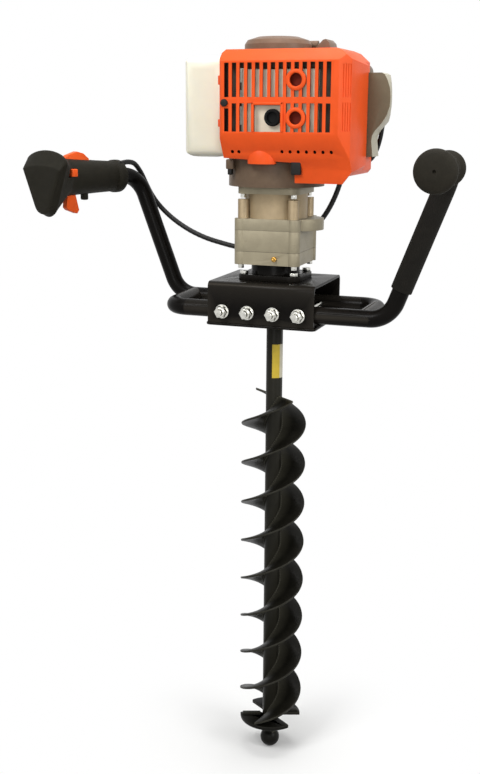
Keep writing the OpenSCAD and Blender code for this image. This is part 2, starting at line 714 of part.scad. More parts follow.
module ball_bearings() color(zinc) {
    zring(out_bearing_r - run_fit, shaft_r + run_fit, lower_z0 - out_bearing_h, lower_z0 - side_gap);
    zring(out_bearing_r - run_fit, shaft_r + run_fit, middle_z0 - 5 - out_bearing_h, middle_z0 - 5);
    zring(drum_bearing_r - run_fit, drum_shaft_r + run_fit, drum_floor_z0 - 1 - drum_bearing_h,
        drum_floor_z0 - 1);
    for (z = [crankcase_z0 + 24, recoil_z0 - 18])
        zring(crank_bearing_r - run_fit, crank_shaft_r + run_fit, z, z + crank_bearing_h);
}

// Auger bit
module flight_plate() {
    n = round((flight_top - flight_z0) / flight_pitch * flight_steps_per_turn);
    inner = (tube_r + weld_gap) / cos(180 / flight_steps_per_turn);
    points = [for (i = [0:n])
        let (z = flight_z0 + (flight_top - flight_z0) * i / n,
            a = flight_end_angle + 360 * (z - flight_top) / flight_pitch)
        for (q = [[inner, 0], [flight_d / 2, 0], [flight_d / 2, flight_t], [inner, flight_t]])
            lift(polar(q[0], a), z + q[1])];
    walls = [for (i = [0:n - 1]) for (k = [0:3])
        let (a = 4 * i + k, b = 4 * i + (k + 1) % 4)
        each [[a, a + 4, b], [b, a + 4, b + 4]]];
    polyhedron(points, concat(walls, [[0, 1, 2, 3], [4 * n + 3, 4 * n + 2, 4 * n + 1, 4 * n]]), 6);
}
module auger_flight() color(black_paint) for (k = [1:flight_starts])
    rotate([0, 0, 360 * k / flight_starts]) flight_plate();

module auger_tube() color(black_paint) difference() {
    zring(tube_r, tube_bore_r, tip_neck_top, tube_top);
    xcyl(pin_d / 2 + run_fit, -30, 30, 0, pin_z);
}

// Flat blades under the flights, each with a raised lip along its leading edge
module cutter_blades() color(black_paint) for (k = [1:flight_starts])
    rotate([0, 0, cutter_lead_angle + 360 * k / flight_starts]) {
        r0 = tube_r + side_gap;
        r1 = flight_d / 2 - 1;
        difference() {
            rotate_extrude(angle = cutter_arc) translate([r0, cutter_z0]) square([r1 - r0, cutter_t]);
            translate([0, 0, cutter_z0]) rotate([-25, 0, 0]) block(0, flight_d, -flight_d, 0, -flight_d, 0);
        }
        yplate([[r0 + 3, cutter_z0 + cutter_t - 1], [r1 - 3, cutter_z0 + cutter_t - 1],
            [r1 - 4, cutter_z0 + cutter_t + 3], [r0 + 3, cutter_z0 + cutter_t + 3]], 1, cutter_lip);
    }

module auger_tip() color(black_paint) {
    translate([0, 0, ball_d / 2]) sphere(r = ball_d / 2);
    zcyl(tip_neck_r, ball_d / 2, tip_neck_top);
    zcyl(tube_bore_r - 2 * run_fit, tip_neck_top, tip_neck_top + 20);
    zcyl(tube_r, tip_neck_top - 3, tip_neck_top);
}

module drive_pin() color(zinc) {
    xcyl(pin_d / 2, -pin_l / 2, pin_l / 2, 0, pin_z);
    xcyl(pin_d / 2 + 2, tube_r + side_gap, tube_r + 3, 0, pin_z);
}

// Engine
module fan_case() color(gray_brown) difference() {
    zcyl(fan_r, fan_z0, crankcase_z0);
    zcyl(fan_inner_r, fan_z0 + 4, crankcase_z0 + eps);
    zcyl(neck_bore_r - 4, fan_z0 - eps, fan_z0 + 5);
    rotate([0, 0, 45]) xcyl(lead_r + 1, fan_inner_r - 3, fan_r + 3, 0, lead_hole_z);
}

module flywheel_fan() color(cast_alloy) {
    zring(flywheel_r, crank_shaft_r + run_fit, fan_z0 + 10, fan_z0 + 17);
    for (k = [0:13]) rotate([0, 0, k * 360 / 14]) block(24, flywheel_r - 1, -1.5, 1.5, fan_z0 + 16, fan_z0 + 34);
    zring(16, crank_shaft_r + run_fit, fan_z0 + 2, fan_z0 + 10);
}

module clutch_shoes() color(steel) {
    z0 = drum_floor_z0 + drum_floor_t + 2;
    z1 = fan_z0 - 8;
    r = drum_r - drum_wall - 1;
    for (a = [0, 180]) rotate([0, 0, a]) difference() {
        zcyl(r, z0, z1);
        zcyl(15, z0 - eps, z1 + eps);
        block(-r, r, -r, 1.5, z0 - eps, z1 + eps);
    }
    zring(14.5, crank_shaft_r + run_fit, z0, fan_z0 + 2);
    for (a = [0, 180]) rotate([0, 0, a]) block(-3, 3, 13, 17, z0 + 2, z1 - 2);
}

crank_low = drum_floor_z0 + drum_floor_t + 3;
web_z = [cyl_z - web_gap / 2 - web_t, cyl_z + web_gap / 2];
module crankshaft() color(steel) {
    zcyl(crank_shaft_r, crank_low, web_z[0] + 1);
    zcyl(crank_shaft_r, web_z[1] + web_t - 1, recoil_z0 + 8);
    for (z = web_z) zcyl(chamber_r - 5, z, z + web_t);
    difference() {
        zcyl(20, recoil_z0 + 4, recoil_z0 + 16);
        zcyl(17, recoil_z0 + 8, recoil_z0 + 17);
    }
}

module crankcase() color(cast_alloy) difference() {
    union() {
        zcyl(fan_inner_r + 2, crankcase_z0, crankcase_z0 + 5);
        zcyl(26, crankcase_z0 + 4, web_z[0]);
        zcyl(case_outer_r, web_z[0] - 7, web_z[1] + web_t + 7);
        zcyl(26, web_z[1] + web_t, recoil_z0);
        zcyl(recoil_d / 2, recoil_z0 - 5, recoil_z0);
        block(10, cyl_base_x, -fin_half_y, fin_half_y, cyl_z - 30, cyl_z + 30);
        ycyl(4, cowl_y0 + cowl_t, -20, cowl_screw_x, cowl_screw_z);
        block(cowl_screw_x - 4, -20, -30, -20, cowl_screw_z - 4, cowl_screw_z + 4);
        for (z = [tank_z0 + 40, tank_z0 + tank_h - 40]) block(tank_x1 + side_gap, -20, -14, 14, z - 5, z + 5);
    }
    zcyl(chamber_r, web_z[0] - 2, web_z[1] + web_t + 2);
    xcyl(bore_r + 2.3, 0, cyl_base_x + eps, 0, cyl_z);
    zcyl(crank_shaft_r + 1, crankcase_z0 - eps, recoil_z0 + eps);
    for (z = [crankcase_z0 + 24, recoil_z0 - 18]) zcyl(crank_bearing_r, z, z + crank_bearing_h);
    zcyl(crank_bearing_r, recoil_z0 - 18, recoil_z0 - 5);
    zcyl(crank_bearing_r, crankcase_z0 + 16, crankcase_z0 + 24);
    ycyl(2, cowl_y0, cowl_y0 + 20, cowl_screw_x, cowl_screw_z);
}

module cylinder_block() difference() {
    union() {
        xcyl(bore_r + 5, cyl_base_x, head_x1, 0, cyl_z);
        block(cyl_base_x, cyl_base_x + 6, -fin_half_y + 2, fin_half_y - 2, cyl_z - 30, cyl_z + 30);
        for (x = [cyl_base_x + 11:fin_pitch:head_x1 - fin_t])
            block(x, x + fin_t, -fin_half_y, fin_half_y, cyl_z - fin_half_z, cyl_z + fin_half_z);
        block(port_x0, port_x1, -port_y, port_y - 2, cyl_z - port_half_z, cyl_z + port_half_z);
        xcyl(5, head_x1 - 4, cowl_x1 - cowl_t, head_screw_y, head_screw_z);
    }
    xcyl(bore_r, cyl_base_x - eps, head_x0, 0, cyl_z);
    xcyl(5, head_x0 - eps, head_x1 + eps, 0, cyl_z);
    ycyl(8, -port_y - eps, port_y, (port_x0 + port_x1) / 2, cyl_z);
    xcyl(2, head_x1 - 2, cowl_x1, head_screw_y, head_screw_z);
}
module cylinder_node() color(cast_alloy) cylinder_block();

module piston() color(steel) {
    difference() {
        xcyl(bore_r - run_fit, piston_pin_x - 12, piston_crown_x, 0, cyl_z);
        xcyl(bore_r - 3, piston_pin_x - 13, piston_crown_x - 5, 0, cyl_z);
    }
    zcyl(4.5, cyl_z - bore_r + 2, cyl_z + bore_r - 2, piston_pin_x, 0);
}

module connecting_rod() color(steel) {
    difference() {
        union() {
            zcyl(8, cyl_z - 6, cyl_z + 6, piston_pin_x);
            zcyl(9.5, cyl_z - 7, cyl_z + 7, crank_r);
            block(crank_r, piston_pin_x, -4.5, 4.5, cyl_z - 4, cyl_z + 4);
        }
        zcyl(4.5 + run_fit, cyl_z - 10, cyl_z + 10, piston_pin_x);
    }
    zcyl(7, cyl_z - web_gap / 2 + 0.5, cyl_z + web_gap / 2 - 0.5, crank_r);
}

module spark_plug() color(zinc) {
    xcyl(5 - run_fit, head_x0 + 2, head_x1 + 1, 0, cyl_z);
    translate([head_x1, 0, cyl_z]) rotate([0, 90, 0]) hex(9, 9);
    xcyl(6, head_x1 + 8, head_x1 + 14, 0, cyl_z);
    xcyl(4, head_x1 + 13, head_x1 + 32, 0, cyl_z);
}

module plug_lead() color(dark) {
    difference() {
        union() {
            xcyl(10, head_x1 + 15, head_x1 + 38, 0, cyl_z);
            ycyl(6, 0, boot_end[1], boot_end[0], cyl_z);
        }
        xcyl(4 + 2 * run_fit, head_x1 + 14, head_x1 + 32.5, 0, cyl_z);
    }
    cord(lead_route, lead_r, 8);
}

// Plug cover: its outline seen from the front, and how its outer side draws in towards the back
function cover_outline(t) = [[cover_x0 - 2 * t, cyl_z + 37 - t], [cover_x0 + 24, cyl_z + 37 - t],
    [cover_x0 + 28.5 - 0.7 * t, cyl_z + 34.5 - 0.7 * t], [cover_x0 + 33 - t, cyl_z + 26],
    [cover_x0 + 36.5 - t, cyl_z + 15], [cover_x0 + 37.5 - t, cyl_z + 4], [cover_x0 + 36.8 - t, cyl_z - 8],
    [cover_x0 + 33 - t, cyl_z - 20], [cover_x0 + 26 - t, cyl_z - 31], [cover_x0 + 17 - t, cyl_z - 41],
    [cover_x0 + 13 - t, cyl_z - 48], [cover_x0 + 12.2 - t, cyl_z - 56], [cover_x0 + 14.4 - t, cyl_z - 77 + t],
    [cover_x0 - 2 * t, cyl_z - 77 + t]];
function cover_plan(t) = [[cover_x0 - 2 * t, cover_y0 + t], [cover_x0 + 38 - t, cover_y0 + t],
    [cover_x0 + 38.5 - t, cover_y0 + 6], [cover_x0 + 28 - t, cover_y1 - t], [cover_x0 - 2 * t, cover_y1 - t]];
module cover_form(t) intersection() {
    yplate(cover_outline(t), cover_y0 - 1, cover_y1 + 1);
    zplate(cover_plan(t), cyl_z - 80, cyl_z + 40);
}
module plug_cover() color(gray_brown) difference() {
    cover_form(0);
    cover_form(cover_t);
    ycyl(cover_lead_r, boot_end[1], cover_y1 + eps, boot_end[0], cyl_z);
}

module ignition_coil() color(dark) rotate([0, 0, 45])
    block(flywheel_r + 1.5, coil_r, -14, 14, fan_z0 + 9, fan_z0 + 34);

module muffler() color(cast_alloy) {
    difference() {
        zplate(rounded(-26, port_x1 + 4, cowl_y0 + 9, -port_y, 8), cyl_z - 50, cyl_z + 40);
        zplate(rounded(-24, port_x1 + 2, cowl_y0 + 11, -port_y - 2, 6), cyl_z - 48, cyl_z + 38);
    }
    difference() {
        ycyl(11.5, cowl_y0 + 2, cowl_y0 + 10, outlet_x, outlet_z);
        ycyl(7.5, cowl_y0 + 1, cowl_y0 + 8, outlet_x, outlet_z);
    }
}

// Intake side
module carburettor() color(cast_alloy) difference() {
    union() {
        block(port_x0, port_x1, port_y - 2, carb_y0 + 1, cyl_z - 14, cyl_z + 14);
        block(carb_x0, carb_x1, carb_y0, carb_y1, cyl_z - 18, cyl_z + 18);
        block(cable_stop[0] - 7, cable_stop[0] + 7, cable_stop[1] - 9, cable_stop[1] + 9,
            stop_plate_z, stop_plate_z + 3);
        block(cable_stop[0] - 7, cable_stop[0] + 7, cable_stop[1] + 6, cable_stop[1] + 9,
            stop_plate_z, cyl_z - 17);
    }
    ycyl(9, port_y - 3, carb_y1 + 1, (port_x0 + port_x1) / 2, cyl_z);
    zcyl(arm_shaft_r + run_fit, cyl_z - 19, cyl_z - 9.5, throttle_shaft[0], throttle_shaft[1]);
    zcyl(arm_shaft_r + run_fit, cyl_z + 9.5, cyl_z + 19, choke_shaft[0], choke_shaft[1]);
    xcyl(10, carb_x1 - 7, carb_x1 + 1, 70, cyl_z);
}

module throttle_arm() color(steel) translate([throttle_shaft[0], throttle_shaft[1], 0]) {
    zcyl(arm_shaft_r, cyl_z - 26, cyl_z - 10);
    zcyl(5, cyl_z - 26, cyl_z - 22);
    block(0, 15, -3, 3, cyl_z - 26, cyl_z - 23);
}

module choke_lever() color(dark) translate([choke_shaft[0], choke_shaft[1], 0]) {
    zcyl(arm_shaft_r, cyl_z + 10, cyl_z + 24);
    zcyl(5, cyl_z + 19, cyl_z + 24);
    block(0, 26, -3, 3, cyl_z + 20, cyl_z + 24);
}

module primer_bulb() color(cream) translate([carb_x1 - 1, 70, cyl_z]) rotate([0, 90, 0])
    rotate_extrude() polygon(concat([[0, 0], [9.5, 0]], arc([0, 4], 9.5, 0, 90)));

module air_filter_base() color(dark) difference() {
    yplate(rounded(filter_x0, filter_x1, filter_z0, filter_z1, 14), carb_y1, carb_y1 + 4);
    ycyl(9, carb_y1 - 1, carb_y1 + 5, (port_x0 + port_x1) / 2, cyl_z);
}

module air_filter_element() color(dark)
    yplate(rounded(filter_x0 + 8, filter_x1 - 8, filter_z0 + 8, filter_z1 - 8, 9), carb_y1 + 4, carb_y1 + 22);

module air_filter_cover() color(gray_brown) difference() {
    union() {
        yplate(rounded(filter_x0, filter_x1, filter_z0, filter_z1, 14), carb_y1 + 4, carb_y1 + filter_depth - 10);
        yplate(rounded(filter_x0 + 6, filter_x1 - 6, filter_z0 + 6, filter_z1 - 6, 10),
            carb_y1 + filter_depth - 11, carb_y1 + filter_depth);
    }
    yplate(rounded(filter_x0 + 3, filter_x1 - 3, filter_z0 + 3, filter_z1 - 3, 11),
        carb_y1 + 3, carb_y1 + filter_depth - 13);
}

// Fuel tank
module soft_box(x0, x1, y0, y1, z0, z1, r) intersection() {
    zplate(rounded(x0, x1, y0, y1, r), z0, z1);
    yplate(rounded(x0, x1, z0, z1, r), y0, y1);
    xplate(rounded(y0, y1, z0, z1, r), x0, x1);
}
module tank_shape(t) soft_box(tank_x1 - tank_w + t, tank_x1 - t, tank_y0 + t, tank_y0 + tank_d - t,
    tank_z0 + t, tank_z0 + tank_h - t, tank_round - t);
module fuel_tank() color(cream) difference() {
    union() {
        tank_shape(0);
        ycyl(cap_neck_r, tank_y0 + tank_d - 4, tank_y0 + tank_d + 9, cap_x, cap_z);
    }
    tank_shape(tank_wall);
    ycyl(cap_neck_r - 3, tank_y0 + tank_d - 12, tank_y0 + tank_d + 10, cap_x, cap_z);
}

module fuel_cap() color(dark) difference() {
    union() {
        ycyl(cap_r, tank_y0 + tank_d + 1, tank_y0 + tank_d + 14, cap_x, cap_z);
        block(cap_x - 14, cap_x + 14, tank_y0 + tank_d + 12, tank_y0 + tank_d + 18, cap_z - 3, cap_z + 3);
    }
    ycyl(cap_neck_r + run_fit, tank_y0 + tank_d, tank_y0 + tank_d + 9 + side_gap, cap_x, cap_z);
}

// Recoil starter
module recoil_housing() color(gray_brown) difference() {
    union() {
        rotate_extrude() translate([0, recoil_z0]) difference() {
            polygon([[0, 0], [recoil_d / 2, 0], [recoil_d / 2, recoil_h - 12], [recoil_d / 2 - 4, recoil_h - 6],
                [recoil_d / 2 - 18, recoil_h - 1.5], [0, recoil_h]]);
            polygon([[-1, -1], [recoil_d / 2 - 3, -1], [recoil_d / 2 - 3, recoil_h - 13],
                [recoil_d / 2 - 6, recoil_h - 8.5], [recoil_d / 2 - 19, recoil_h - 4.5], [-1, recoil_h - 3]]);
        }
        zcyl(post_r, recoil_z0 + 20, recoil_z0 + recoil_h - 2);
        xcyl(6, 38, rope_out_x, rope_groove_r, rope_z);
    }
    xcyl(rope_r + side_gap, 30, rope_out_x + eps, rope_groove_r, rope_z);
}

module starter_pulley() color(dark) difference() {
    union() {
        zcyl(rope_groove_r + 4, rope_z - pulley_half_t, rope_z - 2.5);
        zcyl(rope_groove_r + 4, rope_z + 2.5, rope_z + pulley_half_t);
        zcyl(rope_groove_r - rope_r - side_gap, rope_z - pulley_half_t, rope_z + pulley_half_t);
    }
    zcyl(post_r + run_fit, rope_z - 10, rope_z + 10);
}

module starter_rope() color(cream) xcyl(rope_r, 1, rope_out_x + rope_in_handle, rope_groove_r, rope_z);

module starter_handle() color(gray_brown) difference() {
    yplate([[rope_out_x + side_gap, rope_z - 6], [rope_out_x + 23, rope_z - 6], [rope_out_x + 21, rope_z + 2],
        [rope_out_x + 16, rope_z + 7], [rope_out_x + 12, rope_z + 6]], rope_groove_r - 20, rope_groove_r + 20);
    xcyl(rope_r + run_fit, rope_out_x, rope_out_x + rope_in_handle, rope_groove_r, rope_z);
}

// Cowl: a shell open to the back, to the starter and downwards
module cowl_form(t) {
    open = t > 0 ? eps : 0;
    corner = t > 0 ? 0.01 : 3;
    intersection() {
        zplate([[cowl_x0 + t, cowl_y0 + t + corner], [cowl_x0 + t + corner, cowl_y0 + t],
            [face_x1 - 0.4 * t, cowl_y0 + t], [face_x1 + corner_cut - t, cowl_y0 + corner_cut + 0.4 * t],
            [cowl_x1 + cowl_lip - t, cover_y0 - 1.5 - t], [cowl_x1 - t, cover_y0 - side_gap - t],
            [cowl_x1 - t, cowl_y1 + open], [58 - open, cowl_y1 + open], [58 - open, -57 + open],
            [cowl_x0 + t, -57 + open]], cowl_low - 20, cowl_top + 20);
        yplate([[cowl_x0 + t, grille_z0 - 2], [cowl_x0 + t, cowl_top - 5 - t], [cowl_x0 + 4 + t, cowl_top - t],
            [roof_x1, cowl_top - t], [roof_x1 + 10, cowl_top - 4 - t], [cowl_x1 + cowl_lip - t, cowl_top - 21 - t],
            [cowl_x1 + cowl_lip - t, cowl_low + 24], [118 - t, cowl_low - 10 * open],
            [50 + t, cowl_low - 10 * open], [50 + t, cowl_low + 28 - 10 * open],
            [cowl_x0 + 2 + t, cowl_low + 33 - 10 * open]], cowl_y0 - 20, cowl_y1 + 20);
        xplate([[cowl_y0 + t, grille_z0 - 4], [cowl_y0 + t, grille_z1 + 2.5], [cowl_y0 + 18 + t, cowl_top - t],
            [cowl_y1 + 20, cowl_top - t], [cowl_y1 + 20, cowl_low - 20], [cowl_y0 + 26 + t, cowl_low - 20],
            [cowl_y0 + 22 + t, cowl_low + 20], [cowl_y0 + 14 + t, cowl_low + 34]], cowl_x0 - 20, cowl_x1 + 20);
    }
}
module grille_slots() for (i = [0:slot_count - 1]) {
    x = grille_x0 + (i + 0.5) * slot_pitch;
    in_window = x > window_x0 - slot_w / 2 && x < window_x1 + slot_w / 2;
    by_screw = abs(x - cowl_screw_x) < slot_w / 2 + screw_head_r;
    block(x - slot_w / 2, x + slot_w / 2, cowl_y0 - eps, cowl_y0 + cowl_t + eps,
        by_screw ? cowl_screw_z + screw_room : grille_mid + grille_bar / 2, grille_z1);
    if (!in_window) block(x - slot_w / 2, x + slot_w / 2, cowl_y0 - eps, cowl_y0 + cowl_t + eps,
        grille_z0, by_screw ? cowl_screw_z - screw_room : grille_mid - grille_bar / 2);
}
module engine_cowl() color(orange) difference() {
    union() {
        difference() {
            cowl_form(0);
            cowl_form(cowl_t);
            grille_slots();
            block(window_x0, window_x1, cowl_y0 - eps, cowl_y0 + cowl_t + eps, grille_z0, window_z1);
        }
        for (z = boss_z) ycyl(boss_r, cowl_y0, cowl_y0 + cowl_t, boss_x, z);
    }
    for (z = boss_z) ycyl(boss_hole_r, cowl_y0 - eps, cowl_y0 + 20, boss_x, z);
    xcyl(15, cowl_x1 - 10, cowl_x1 + eps, 0, cyl_z);
    block(59, cowl_x1 + cowl_lip, roof_y1, cowl_y1 + 1, cyl_z + 38, cowl_top + 1);
    for (i = [0:6]) ycyl(2.4, cowl_y0 - eps, cowl_y0 + 26, 35 + 11.7 * i, cowl_low + 43);
    for (i = [0:1]) ycyl(2.4, cowl_y0 - eps, cowl_y0 + 26, -37.5 + 9.5 * i, cowl_low + 42);
    ycyl(2 + bolt_fit, cowl_y0 - eps, cowl_y0 + 20, cowl_screw_x, cowl_screw_z);
    xcyl(2 + bolt_fit, cowl_x1 - 10, cowl_x1 + 5, head_screw_y, head_screw_z);
}

module cover_screws() color(dark) {
    ycyl(2 - run_fit, cowl_y0 - 1, cowl_y0 + 18, cowl_screw_x, cowl_screw_z);
    ycyl(screw_head_r, cowl_y0 - 4, cowl_y0, cowl_screw_x, cowl_screw_z);
    xcyl(2 - run_fit, head_x1, cowl_x1 + 1, head_screw_y, head_screw_z);
    xcyl(screw_head_r, cowl_x1, cowl_x1 + 4, head_screw_y, head_screw_z);
    in_grip() {
        ycyl(2 - run_fit, -13, 14, grip_x0 + 7, 18.5);
        ycyl(4, 13 + run_fit, 15, grip_x0 + 7, 18.5);
    }
}

module throttle_cable() color(dark) cord(cable_route, cable_r, 10);

bracket_channel();
bracket_plate();
clamp_bolts();
clamp_nuts();
left_handle();
right_handle();
arm_sleeve();
right_grip();
throttle_grip_outer();
throttle_grip_inner();
trigger_pins();
throttle_trigger();
throttle_lock();
stop_switch();
throttle_cable();
gearbox_foot();
foot_bolts();
gearcase_lower();
gearcase_middle();
gearcase_upper();
gearbox_bolts();
grease_nipple();
clutch_drum();
idler_gear();
output_shaft();
output_gear();
ball_bearings();
auger_tube();
auger_flight();
cutter_blades();
auger_tip();
drive_pin();
fan_case();
flywheel_fan();
clutch_shoes();
crankshaft();
crankcase();
cylinder_node();  // cylinder
piston();
connecting_rod();
spark_plug();
plug_lead();
plug_cover();
ignition_coil();
muffler();
carburettor();
throttle_arm();
choke_lever();
primer_bulb();
air_filter_base();
air_filter_element();
air_filter_cover();
fuel_tank();
fuel_cap();
recoil_housing();
starter_pulley();
starter_rope();
starter_handle();
engine_cowl();
cover_screws();
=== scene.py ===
"""Looks of the earth auger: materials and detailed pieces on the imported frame.

Lengths in code are millimetres."""
import json
import math
import bpy
import bmesh
from mathutils import Vector, Matrix


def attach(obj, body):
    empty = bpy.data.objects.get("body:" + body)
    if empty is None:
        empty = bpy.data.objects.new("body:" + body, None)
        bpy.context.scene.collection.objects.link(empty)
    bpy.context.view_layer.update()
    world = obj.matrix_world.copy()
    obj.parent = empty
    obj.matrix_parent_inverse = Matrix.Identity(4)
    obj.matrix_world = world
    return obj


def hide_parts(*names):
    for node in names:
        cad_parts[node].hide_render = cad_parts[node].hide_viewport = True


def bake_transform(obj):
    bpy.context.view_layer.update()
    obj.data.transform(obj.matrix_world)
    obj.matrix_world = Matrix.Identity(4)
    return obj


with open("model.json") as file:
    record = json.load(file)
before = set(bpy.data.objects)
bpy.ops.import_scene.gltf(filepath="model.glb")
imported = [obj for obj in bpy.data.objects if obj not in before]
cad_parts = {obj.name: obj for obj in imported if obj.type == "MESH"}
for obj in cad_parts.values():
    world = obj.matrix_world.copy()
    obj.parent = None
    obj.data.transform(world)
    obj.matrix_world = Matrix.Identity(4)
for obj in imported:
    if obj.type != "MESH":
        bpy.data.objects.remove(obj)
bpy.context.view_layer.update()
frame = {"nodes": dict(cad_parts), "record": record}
nodes = frame["nodes"]
body_of = {n: b for b, ns in frame["record"]["behaviour"]["bodies"].items() for n in ns}
MM = 0.001

# Camera, fitted to the photograph: place in metres, angles in degrees, focal length in pixels
CAMERA_AT = (0.5060, -1.5610, 1.0190)
CAMERA_YAW, CAMERA_PITCH, CAMERA_ROLL = 19.79, 13.88, 0.28
FOCAL_PX, PICTURE_H_PX, SENSOR_MM = 1100, 774, 36


# Camera at the photograph's place
def add_camera():
    data = bpy.data.cameras.new("camera")
    data.sensor_fit = "VERTICAL"
    data.sensor_height = SENSOR_MM
    data.lens = SENSOR_MM * FOCAL_PX / PICTURE_H_PX
    data.clip_start = 0.05
    data.clip_end = 60
    camera = bpy.data.objects.new("camera", data)
    camera.location = CAMERA_AT
    turn = (Matrix.Rotation(math.radians(CAMERA_YAW), 3, "Z")
            @ Matrix.Rotation(math.radians(90 - CAMERA_PITCH), 3, "X")
            @ Matrix.Rotation(math.radians(CAMERA_ROLL), 3, "Z"))
    camera.rotation_euler = turn.to_euler()
    bpy.context.scene.collection.objects.link(camera)
    bpy.context.scene.camera = camera


# Materials: every one has colour, roughness and surface variation from nodes
ROUGH_SPREAD = 0.1


def srgb(r, g, b):
    return tuple((c / 255 / 12.92) if c <= 10 else ((c / 255 + 0.055) / 1.055) ** 2.4 for c in (r, g, b))


def material(name, colour, rough=0.5, metal=0.0, spread=0.14, grain=90, grit=1400, bump=0.06, spec=0.35,
             fleck=None, fleck_share=0.0, fleck_scale=60, worn=None):
    """Principled material; fleck is a second colour in spots, worn a colour on convex edges."""
    m = bpy.data.materials.new(name)
    m.use_nodes = True
    tree = m.node_tree
    shader = tree.nodes["Principled BSDF"]
    link = tree.links.new
    coord = tree.nodes.new("ShaderNodeTexCoord")

    def noise(scale, detail=4.0, rough_=0.6):
        n = tree.nodes.new("ShaderNodeTexNoise")
        n.inputs["Scale"].default_value = scale
        n.inputs["Detail"].default_value = detail
        n.inputs["Roughness"].default_value = rough_
        link(coord.outputs["Object"], n.inputs["Vector"])
        return n

    def ramp_of(value, low, high, c0=(0, 0, 0), c1=(1, 1, 1)):
        r = tree.nodes.new("ShaderNodeValToRGB")
        ends = r.color_ramp.elements
        ends[0].position, ends[1].position = low, high
        ends[0].color, ends[1].color = (*c0, 1), (*c1, 1)
        link(value, r.inputs["Fac"])
        return r.outputs["Color"]

    def mixed(factor, base, colour_):
        mix = tree.nodes.new("ShaderNodeMix")
        mix.data_type = "RGBA"
        mix.inputs[7].default_value = (*colour_, 1)
        link(factor, mix.inputs[0])
        link(base, mix.inputs[6])
        return mix.outputs[2]

    out = ramp_of(noise(grain).outputs["Fac"], 0.3, 0.7, [c * (1 - spread) for c in colour],
                  [min(1, c * (1 + spread)) for c in colour])
    if fleck is not None:
        spots = noise(fleck_scale, 6.0, 0.7).outputs["Fac"]
        out = mixed(ramp_of(spots, 0.70 - fleck_share, 0.76 - fleck_share), out, fleck)
    if worn is not None:
        geo = tree.nodes.new("ShaderNodeNewGeometry")
        out = mixed(ramp_of(geo.outputs["Pointiness"], 0.53, 0.62), out, worn)
    link(out, shader.inputs["Base Color"])
    level = tree.nodes.new("ShaderNodeMapRange")
    level.inputs["To Min"].default_value = max(0.02, rough - ROUGH_SPREAD)
    level.inputs["To Max"].default_value = min(1, rough + ROUGH_SPREAD)
    link(noise(grain * 0.37, 3.0).outputs["Fac"], level.inputs["Value"])
    link(level.outputs["Result"], shader.inputs["Roughness"])
    relief = tree.nodes.new("ShaderNodeBump")
    relief.inputs["Strength"].default_value = bump
    relief.inputs["Distance"].default_value = 0.001
    link(noise(grit, 3.0).outputs["Fac"], relief.inputs["Height"])
    link(relief.outputs["Normal"], shader.inputs["Normal"])
    shader.inputs["Metallic"].default_value = metal
    shader.inputs["Specular IOR Level"].default_value = spec
    return m


BLACK = material("gloss_black_paint", srgb(14, 12, 10), 0.28, spread=0.2, grit=700, bump=0.05, spec=0.06,
                 worn=srgb(58, 54, 48))
BIT_BLACK = material("bit_black_paint", srgb(18, 17, 13), 0.36, spread=0.25, grit=420, bump=0.14,
                     spec=0.09,
                     fleck=srgb(46, 45, 38), fleck_share=0.02, fleck_scale=40, worn=srgb(74, 72, 62))
RUBBER = material("grip_rubber", srgb(36, 33, 26), 0.72, spread=0.14, grit=1800, bump=0.28, spec=0.14)
GRIP = material("grip_plastic", srgb(31, 29, 22), 0.6, spread=0.14, grit=1600, bump=0.3, spec=0.1)
SLEEVE = material("foam_sleeve", srgb(24, 22, 18), 0.8, spread=0.18, grit=2600, bump=0.4, spec=0.15)
ORANGE = material("orange_plastic", srgb(236, 88, 34), 0.42, spread=0.05, grain=35, grit=1700,
                  bump=0.14, spec=0.14)
# A dark copy of the orange: painted shade for the cowl's inside, slot walls and boss cups
ORANGE_SHADE = material("orange_painted_shade", srgb(112, 32, 14), 0.6, spread=0.2, grain=60, grit=1500, bump=0.2,
                     spec=0.15)
ORANGE_LEVER = material("orange_lever", srgb(234, 92, 34), 0.46, spread=0.06, grit=1500, bump=0.12,
                        spec=0.14)
ALLOY = material("cast_alloy", srgb(152, 143, 120), 0.44, 0.3, spread=0.1, grain=55, grit=900,
                 bump=0.32, spec=0.35,
                 fleck=srgb(124, 114, 92), fleck_share=0.05, fleck_scale=36)
# A lighter copy of the cast alloy: painted highlight on the gearcase neck
ALLOY_NECK_HIGHLIGHT = material("cast_alloy_neck_highlight", srgb(164, 145, 114), 0.42, 0.3, spread=0.1, grain=55, grit=900,
                      bump=0.3,
                      fleck=srgb(112, 98, 76), fleck_share=0.05, fleck_scale=36)
# Dark alloy for the crankcase and cylinder, also used as painted shade on the cowl's inner walls
SOOTY_AND_SHADE = material("sooty_alloy_and_shade", srgb(70, 65, 57), 0.6, 0.25, spread=0.2, grain=50, grit=900, bump=0.3,
                 spec=0.2)
BROWN = material("gray_brown_plastic", srgb(106, 88, 71), 0.4, spread=0.1, grit=1500, bump=0.16,
                 spec=0.2)
DOME = material("starter_plastic", srgb(116, 92, 74), 0.4, spread=0.1, grit=1500, bump=0.12, spec=0.2)
COVER = material("cover_plastic", srgb(104, 95, 75), 0.44, spread=0.07, grit=1500, bump=0.16, spec=0.2)
